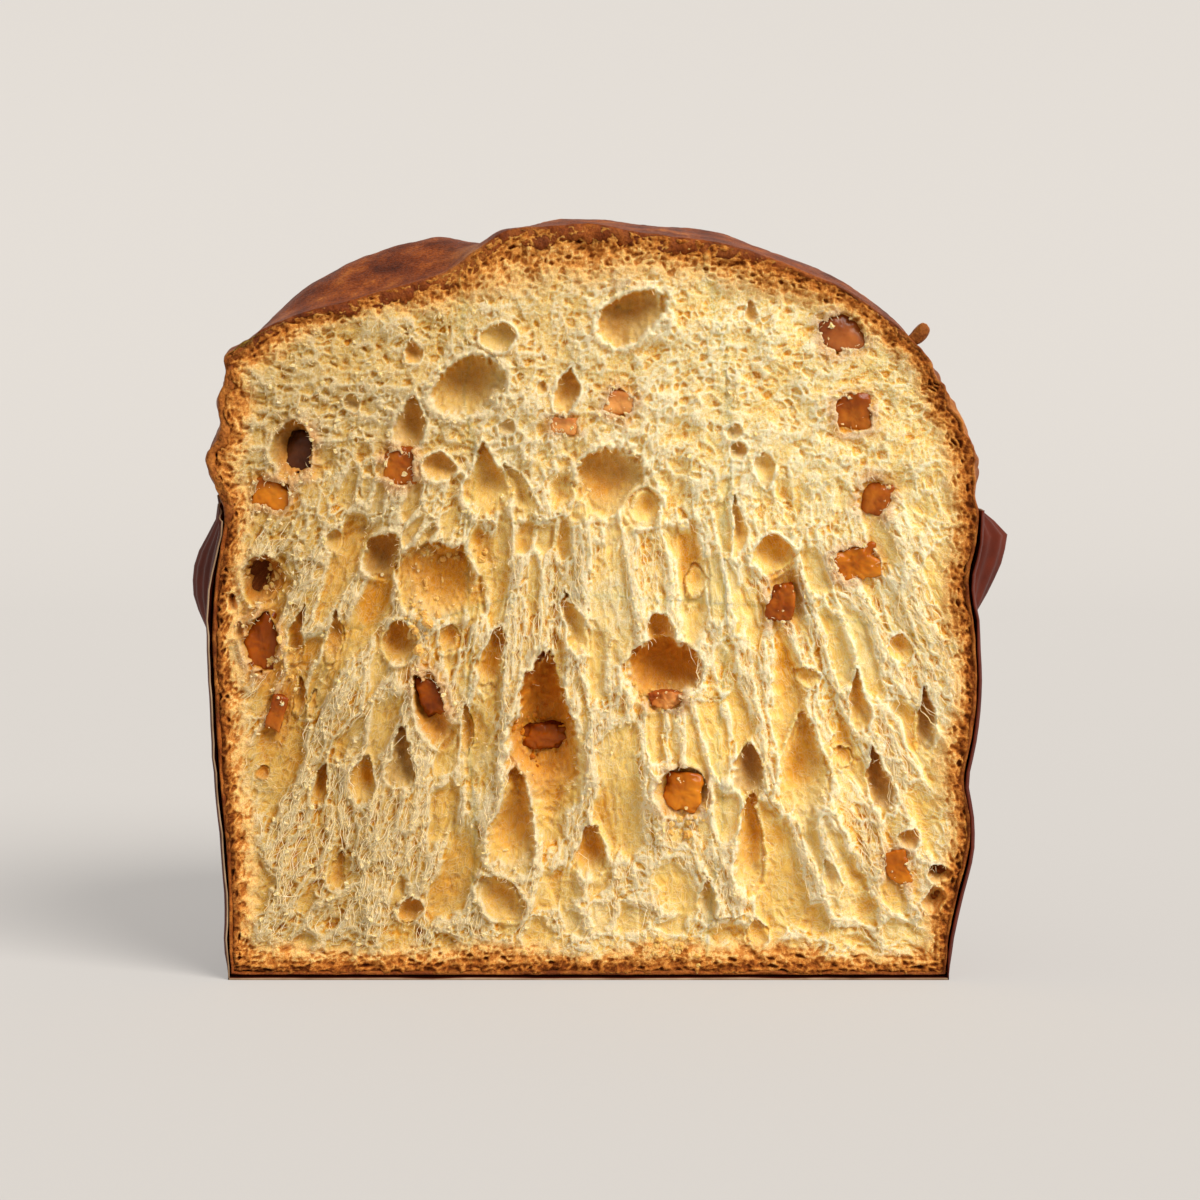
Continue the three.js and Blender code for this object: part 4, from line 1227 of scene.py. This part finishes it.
def paper_places(turn, z, outwards, flute):
    """Places where rays from the middle of the cut meet the wall, at the given turns."""
    ray_x, ray_y = np.cos(turn), np.sin(turn)
    angle = turn
    for _ in range(4):
        radius = paper_radius(angle, z) + flute + outwards
        reach = CUT_OFFSET * ray_y + np.sqrt(radius**2 - (CUT_OFFSET * ray_x) ** 2)
        x, y = reach * ray_x, reach * ray_y - CUT_OFFSET
        angle = np.arctan2(y, x)
    return np.stack([x, y, z + 0 * x], -1)


def paper_walls(turns, heights, flutes):
    """Outer and inner wall: flutes as a cosine wave, a rim that wanders and curls at the left end,
    and front edges that hang loose and ripple."""
    turn, z = np.meshgrid(turns, heights)
    wave = 0.5 - 0.5 * np.cos(turn * 2 * flutes)
    wander = 1.1 * noise(np.cos(turn) * 3, np.sin(turn) * 3, 0.5) + 0.25 * noise(turn * 40, 0.5, 0.5)
    from_left = math.pi - turn
    curl = 3.6 * np.exp(-(((from_left - 0.10) / 0.05) ** 2)) - 2.2 * np.exp(-((from_left / 0.03) ** 2))
    z = z + rising(CASE_HEIGHT - 12, CASE_HEIGHT, z) * (wander + curl)
    front = np.exp(-np.minimum(turn, math.pi - turn) / 0.035)
    side = np.sign(turn - 1.5) * 3 + 0.5
    loose = np.where(side > 0, 0.5 + 0.5 * rising(58, 72, z), 0.05 + 0.6 * rising(60, 80, z))
    ripple = front * loose * (0.75 + 1.0 * noise(z / 7, side, 2.5) + 0.6 * noise(z / 2.6, side, 7.5))
    flute = FLUTE_DEPTH * wave * rising(1, 6, z) + ripple * rising(2, 10, z)
    return (paper_places(turn, z, PAPER, flute),
            paper_places(turn, np.maximum(z, FLOOR_TOP), 0.0, flute))


def paper_case():
    """Outer wall, inner wall, a rim strip, the floor's two sheets with their front edge, and the
    two cut ends. Rim, floor edge and the left end show the pale core of the paper."""
    flutes = round(math.pi * WALL_RADIUS / FLUTE_PITCH)
    turns = np.linspace(0, math.pi, flutes * 8 + 1)
    heights = np.concatenate([[0, 1.2, 3], np.linspace(6, CASE_HEIGHT, 30)])
    outside, inside = paper_walls(turns, heights, flutes)
    count, rows = len(turns), len(heights)
    start = rows * count
    outer_quads = grid_quads(rows, count)
    inner_quads = grid_quads(rows, count, start)[:, ::-1]
    here, after = np.arange(count - 1), np.arange(1, count)
    top = (rows - 1) * count
    rim = np.stack([top + here, top + after, start + top + after, start + top + here], -1)
    right_end, left_end = outside[0, 0, 0], outside[0, -1, 0]
    floor_line = np.zeros((count, 3))
    floor_line[:, 0] = (right_end + left_end) / 2 + (right_end - left_end) / 2 * np.cos(turns)
    floor_line[:, 1] = -CUT_OFFSET
    under_line = floor_line.copy()
    floor_line[:, 2] = FLOOR_TOP + 0.22 * noise(floor_line[:, 0] / 9, 0.5, 0.5)
    floor, under = 2 * start, 2 * start + count
    floor_sheet = np.stack([start + here, start + after, floor + after, floor + here], -1)
    under_sheet = np.stack([after, here, under + here, under + after], -1)
    floor_edge = np.stack([floor + here, floor + after, under + after, under + here], -1)
    level, higher = np.arange(rows - 1) * count, np.arange(1, rows) * count
    ends = []
    for column, flip in ((0, 1), (count - 1, -1)):
        strip = np.stack([level + column, higher + column, start + higher + column,
                          start + level + column], -1)
        ends.append(strip[:, ::flip])
    points = np.concatenate([outside.reshape(-1, 3), inside.reshape(-1, 3), floor_line, under_line])
    quads = [outer_quads, inner_quads, rim, *ends, floor_edge, floor_sheet, under_sheet]
    slots = np.concatenate([np.full(len(part), part is rim or part is ends[1] or part is floor_edge)
                            for part in quads])
    return new_piece("fluted_paper_case", points, quads, [PAPER_SKIN, PAPER_CORE], slots=slots)


case = paper_case()
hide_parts("paper_case")

# %% [markdown]
# ## Candied pieces
# Candied peel is cut in cubes before it is baked, and its edges round off in the syrup. A bevelled
# cube would look machined, so each piece is a rounded block between its six sides and a few slanting
# ones where the knife went, with lumps, and clear enough to let a little light in.

# %% Peel material
def peel_material(name, dark, light, clear=0.3):
    """Syrupy peel: tone wanders through it and darkens towards its sides and top, painted shade with
    random patches, light goes a few millimetres in, and it shines a little."""
    material, tree = new_tree(name)
    _, tone = place_grain(tree, 700.0)
    colour = ramp(tree, tone, [(0.34, dark), (0.64, light)])
    # Painted shade: darker at the top and where the piece sinks back into the crumb, with random patches
    colour = mix(tree, mask(tree, "edge"), colour, [0.6 * dark[0], 0.4 * dark[1], 0.4 * dark[2]])
    finish_material(tree, colour, relief_bump(tree, tone, 0.4, 0.0008), Roughness=0.25,
                    Specular_IOR_Level=0.14, Subsurface_Weight=clear,
                    Subsurface_Radius=(0.003, 0.0010, 0.0003), Subsurface_Scale=1.0,
                    Coat_Weight=0.06, Coat_Roughness=0.12)
    return material


BROWN_PEEL = peel_material("brown peel", (0.17, 0.030, 0.005), (0.44, 0.13, 0.028))
AMBER_PEEL = peel_material("amber peel", (0.30, 0.060, 0.003), (0.56, 0.175, 0.014))
ORANGE_PEEL = peel_material("orange peel", (0.40, 0.085, 0.002), (0.68, 0.23, 0.012))
DARK_PEEL = peel_material("syrup-dark peel", (0.15, 0.022, 0.001), (0.38, 0.085, 0.002))
ROSE_PEEL = peel_material("rose peel", (0.55, 0.17, 0.025), (0.80, 0.38, 0.11))
RAISIN = peel_material("raisin", (0.035, 0.010, 0.004), (0.12, 0.035, 0.010), 0.1)

# %% Peel shapes
# How lumpy each one is, how many knife cuts it shows, and what it is made of
PEELS = {
    "peel_top_right": (0.5, 4, BROWN_PEEL), "peel_right_upper": (1.0, 3, AMBER_PEEL),
    "peel_right_middle": (0.8, 5, AMBER_PEEL), "peel_right_lower": (1.3, 4, ORANGE_PEEL),
    "peel_right_amber": (1.2, 4, AMBER_PEEL), "peel_centre_rose": (1.2, 3, ROSE_PEEL),
    "peel_centre_small": (1.4, 2, ROSE_PEEL), "peel_left_jelly": (1.2, 2, AMBER_PEEL),
    "peel_left_crust": (1.2, 4, ORANGE_PEEL), "peel_left_side": (1.4, 4, DARK_PEEL),
    "peel_left_pale": (1.4, 3, AMBER_PEEL), "peel_left_streak": (1.5, 4, DARK_PEEL),
    "peel_hollow_orange": (2.0, 3, DARK_PEEL), "peel_hollow_rim": (2.0, 3, ROSE_PEEL),
    "peel_low_rose": (1.2, 4, ORANGE_PEEL), "peel_right_foot": (1.3, 4, ORANGE_PEEL),
    "raisin_left": (1.0, 3, RAISIN)}


def soft_block(name, lumps, cuts, material, steps=44):
    """A ball in latitude and longitude pressed into a block with rounded edges: along direction d
    the surface lies at (sum over the sides k of max(d.n_k, 0)^p / h_k^p)^(-1/p). Its six main
    sides fill the solid's size, a few slanting ones are where the knife went, and noise adds lumps."""
    middle, size, turn = own_size(name)
    front = visible_front(name) - CUT_OFFSET
    back = middle[1] + size[1] / 2
    middle, size = np.array([middle[0], (front + back) / 2, middle[2]]), [size[0], back - front, size[2]]
    down, along = np.meshgrid(np.linspace(0, math.pi, steps),
                              np.linspace(0, 2 * math.pi, 2 * steps, endpoint=False), indexing="ij")
    ball = np.stack([np.sin(down) * np.cos(along), np.cos(down), np.sin(down) * np.sin(along)], -1)
    rng = np.random.default_rng(int(abs(middle[0]) * 40 + middle[2] * 7))
    slanting = rng.normal(0, 1, (cuts, 3)) * [1, 0.7, 1]
    slanting /= np.linalg.norm(slanting, axis=1, keepdims=True)
    sides = np.concatenate([np.eye(3), -np.eye(3), slanting])
    heights = np.concatenate([np.ones(6), rng.uniform(0.86, 1.12, cuts)])
    facing = np.clip(ball @ sides.T, 0, None) / heights
    block = ball * ((facing**9).sum(-1) ** (-1 / 9))[..., None]
    block /= np.abs(block).reshape(-1, 3).max(0)
    place = block * size / 2
    dent = lumps * (0.13 * noise(*np.moveaxis(place / 3.0 + middle, -1, 0)) - 0.03
                    + 0.07 * noise(*np.moveaxis(place / 1.1 + middle, -1, 0))
                    + 0.025 * noise(*np.moveaxis(place / 0.45 + middle, -1, 0)))
    place = place * (1 + dent)[..., None]
    x, z = place[..., 0], place[..., 2]
    turned = np.stack([x * math.cos(turn) + z * math.sin(turn), place[..., 1],
                       z * math.cos(turn) - x * math.sin(turn)], -1) + middle
    body = turned[1:-1].reshape(-1, 3)
    count = 2 * steps
    here = np.arange(count)
    after = (here + 1) % count
    last = len(body) - count
    fans = [np.stack([here, after, np.full(count, len(body))], -1),
            np.stack([last + after, last + here, np.full(count, len(body) + 1)], -1)]
    points = np.concatenate([body, [turned[0].mean(0), turned[-1].mean(0)]])
    # The edge mask: painted shade where the piece sinks back and on its upper part, and random patches
    sunk = (points[:, 1] - points[:, 1].min()) / size[1]
    patch = 0.25 * noise(*(points / 2.4).T)
    upper = 0.5 * rising(-0.1, 0.9, (points[:, 2] - middle[2]) / size[2] * 2)
    return new_piece("candied_" + name, points,
                     [grid_quads(steps - 2, count, closed=True)[:, ::-1], *fans], [material],
                     {"edge": np.clip(rising(0.10, 0.5, sunk) + patch + upper, 0, 1)})


for name, (lumps, cuts, material) in PEELS.items():
    piece = soft_block(name, lumps, cuts, material)
    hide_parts(name)

# %% [markdown]
# ## Crumb and jelly in the hollows
# Scraps of crumb stick to the pieces near the cut, and syrup gathers in the hollows as soft grains.
# Both are too many to place by hand, so the ragged balls of the tufts serve again: rough ones spread
# over each piece for the crumb, smoother ones in clusters for the jelly.

# %% Crumb stuck to the peel
SCRAPS = 7  # on each piece
rng = np.random.default_rng(41)
scraps = []
for name in TILTS:
    middle, size, turn = own_size(name)
    if visible_front(name) > DEEP:
        continue
    way = rng.uniform(0, 2 * math.pi, SCRAPS)
    out = rng.uniform(0.4, 1.0, SCRAPS)
    across, up = out * (np.cos(way) * size[0] / 2), out * (np.sin(way) * size[2] / 2)
    scraps.append(np.stack([middle[0] + across * math.cos(turn) + up * math.sin(turn),
                            np.full(SCRAPS, visible_front(name) - CUT_OFFSET) + 0.2,
                            middle[2] - across * math.sin(turn) + up * math.cos(turn)], -1))
scraps = np.concatenate(scraps)
size = 0.1 + 0.5 * rng.random(len(scraps)) ** 2
stuck = tufts("stuck_crumb", *scraps.T, size, 0.35 * rng.random(len(scraps)), 43, THREAD)

# %% Syrup grains
# Middle, width and height of each cluster, and how many grains lie in it
GRAINS = ((-10.2, 57.5, 6.5, 5.5, 46), (-12.5, 51.0, 2.5, 5.0, 14), (-38.0, 85.0, 5.0, 7.0, 34),
          (-31.0, 98.0, 5.5, 2.5, 16), (15.5, 66.0, 6.0, 2.4, 34), (24.0, 37.0, 5.0, 4.0, 22),
          (-74.0, 92.0, 4.0, 6.0, 20), (-70.0, 74.0, 3.0, 6.0, 16), (20.0, 8.0, 8.0, 2.5, 26))


def syrup_grains(name, clusters, seed, material):
    """Soft lumps of jelly that gathered in the hollows, in the clusters listed above."""
    rng = np.random.default_rng(seed)
    places = [np.stack([rng.normal(x, wide / 2, n), rng.normal(z, high / 2, n)])
              for x, z, wide, high, n in clusters]
    x, z = np.concatenate(places, 1)
    depth, _ = crumb_relief(x, z)
    size = 0.25 + 0.65 * rng.random(len(x)) ** 2
    return tufts(name, x, -CUT_OFFSET + depth - 0.2 * size, z, size, 0 * x, seed + 1, material,
                 down=7, round_=10, rough=0.22)


PALE_JELLY = peel_material("pale jelly", (0.72, 0.36, 0.07), (0.88, 0.54, 0.17))
for grains in (syrup_grains("syrup_grains", GRAINS[:2], 47, ORANGE_PEEL),
               syrup_grains("pale_grains", GRAINS[2:], 51, PALE_JELLY)):
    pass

# %% [markdown]
# ## Floor, light and camera
# A pale studio sweep, one broad light from the upper right, and soft light all round. The sweep glows
# a little, which keeps it even where one lamp alone would leave it grey far from the loaf.

# %% Floor and world
SWEEP = (0.640, 0.615, 0.590)


def studio():
    """A level floor that curves up into a wall far behind, as one profile carried sideways."""
    t = np.linspace(0, math.pi / 2, 24)
    depth = np.concatenate([[-3000, 900], 900 + 900 * np.sin(t[1:]), [1800]])
    height = np.concatenate([[0, 0], 900 - 900 * np.cos(t[1:]), [4200]])
    sides = np.array([-12000.0, 12000.0])
    points = np.stack([np.repeat(sides[None], len(depth), 0).ravel(), np.repeat(depth, 2),
                       np.repeat(height, 2)], -1)
    mesh = bpy.data.meshes.new("studio_sweep")
    mesh.from_pydata((points * MM).tolist(), [], grid_quads(len(depth), 2).tolist())
    mesh.polygons.foreach_set("use_smooth", np.ones(len(mesh.polygons), bool))
    floor = bpy.data.objects.new("studio_sweep", mesh)
    bpy.context.scene.collection.objects.link(floor)
    material, tree = new_tree("pale sweep")
    matt = add(tree, "ShaderNodeBsdfDiffuse", {"Color": (*SWEEP, 1)})
    glow = add(tree, "ShaderNodeEmission", {"Color": (*SWEEP, 1), "Strength": 1.0})
    share = add(tree, "ShaderNodeMixShader", {0: 0.54, 1: matt.outputs[0], 2: glow.outputs[0]})
    output = add(tree, "ShaderNodeOutputMaterial")
    tree.links.new(share.outputs[0], output.inputs["Surface"])
    mesh.materials.append(material)
    return floor


studio()
scene = bpy.context.scene
scene.view_settings.view_transform = "Standard"
world = bpy.data.worlds.new("soft light")
world.use_nodes = True
background = world.node_tree.nodes["Background"]
background.inputs["Color"].default_value = (1.0, 0.955, 0.89, 1)
background.inputs["Strength"].default_value = 0.40
scene.world = world


# %% Lights
def aim(target, azimuth, elevation, distance):
    """Place and turn of something that looks at the target from a direction."""
    across, up = math.radians(azimuth), math.radians(elevation)
    away = np.array([math.sin(across) * math.cos(up), -math.cos(across) * math.cos(up), math.sin(up)])
    place = Vector(target) + Vector(away) * distance
    return place, (-Vector(away)).to_track_quat("-Z", "Y")


def sun(name, azimuth, elevation, strength, spread, colour):
    """A far lamp that shines on the loaf from a direction, its disc the given degrees wide."""
    light = bpy.data.lights.new(name, "SUN")
    light.energy = strength
    light.angle = math.radians(spread)
    light.color = colour
    lamp = bpy.data.objects.new(name, light)
    lamp.rotation_mode = "QUATERNION"
    lamp.location, lamp.rotation_quaternion = aim((0, 0, 0.08), azimuth, elevation, 2.0)
    scene.collection.objects.link(lamp)


sun("key", 44, 43, 3.66, 34, (1.0, 0.965, 0.91))

# %% Camera
VIEW_WIDTH = 274.4  # mm of the cut that the photo's width takes in
VIEW_DISTANCE = 770.0
VIEW_X, VIEW_Z = 2.74, 88.1  # what the photo's centre looks at, from the axis and the foot
VIEW_ELEVATION = 5.0

camera_data = bpy.data.cameras.new("camera")
camera_data.sensor_width = 36
camera_data.lens = 36 * VIEW_DISTANCE / VIEW_WIDTH
camera_data.clip_end = 20
camera = bpy.data.objects.new("camera", camera_data)
camera.rotation_mode = "QUATERNION"
look_at = (np.array([VIEW_X, -CUT_OFFSET, VIEW_Z]) + AXIS_SHIFT) * MM
camera.location, camera.rotation_quaternion = aim(look_at, 0, VIEW_ELEVATION, VIEW_DISTANCE * MM)
scene.collection.objects.link(camera)
scene.camera = camera
print("camera at", [round(v, 3) for v in camera.location], "m, lens", round(camera_data.lens, 1), "mm")
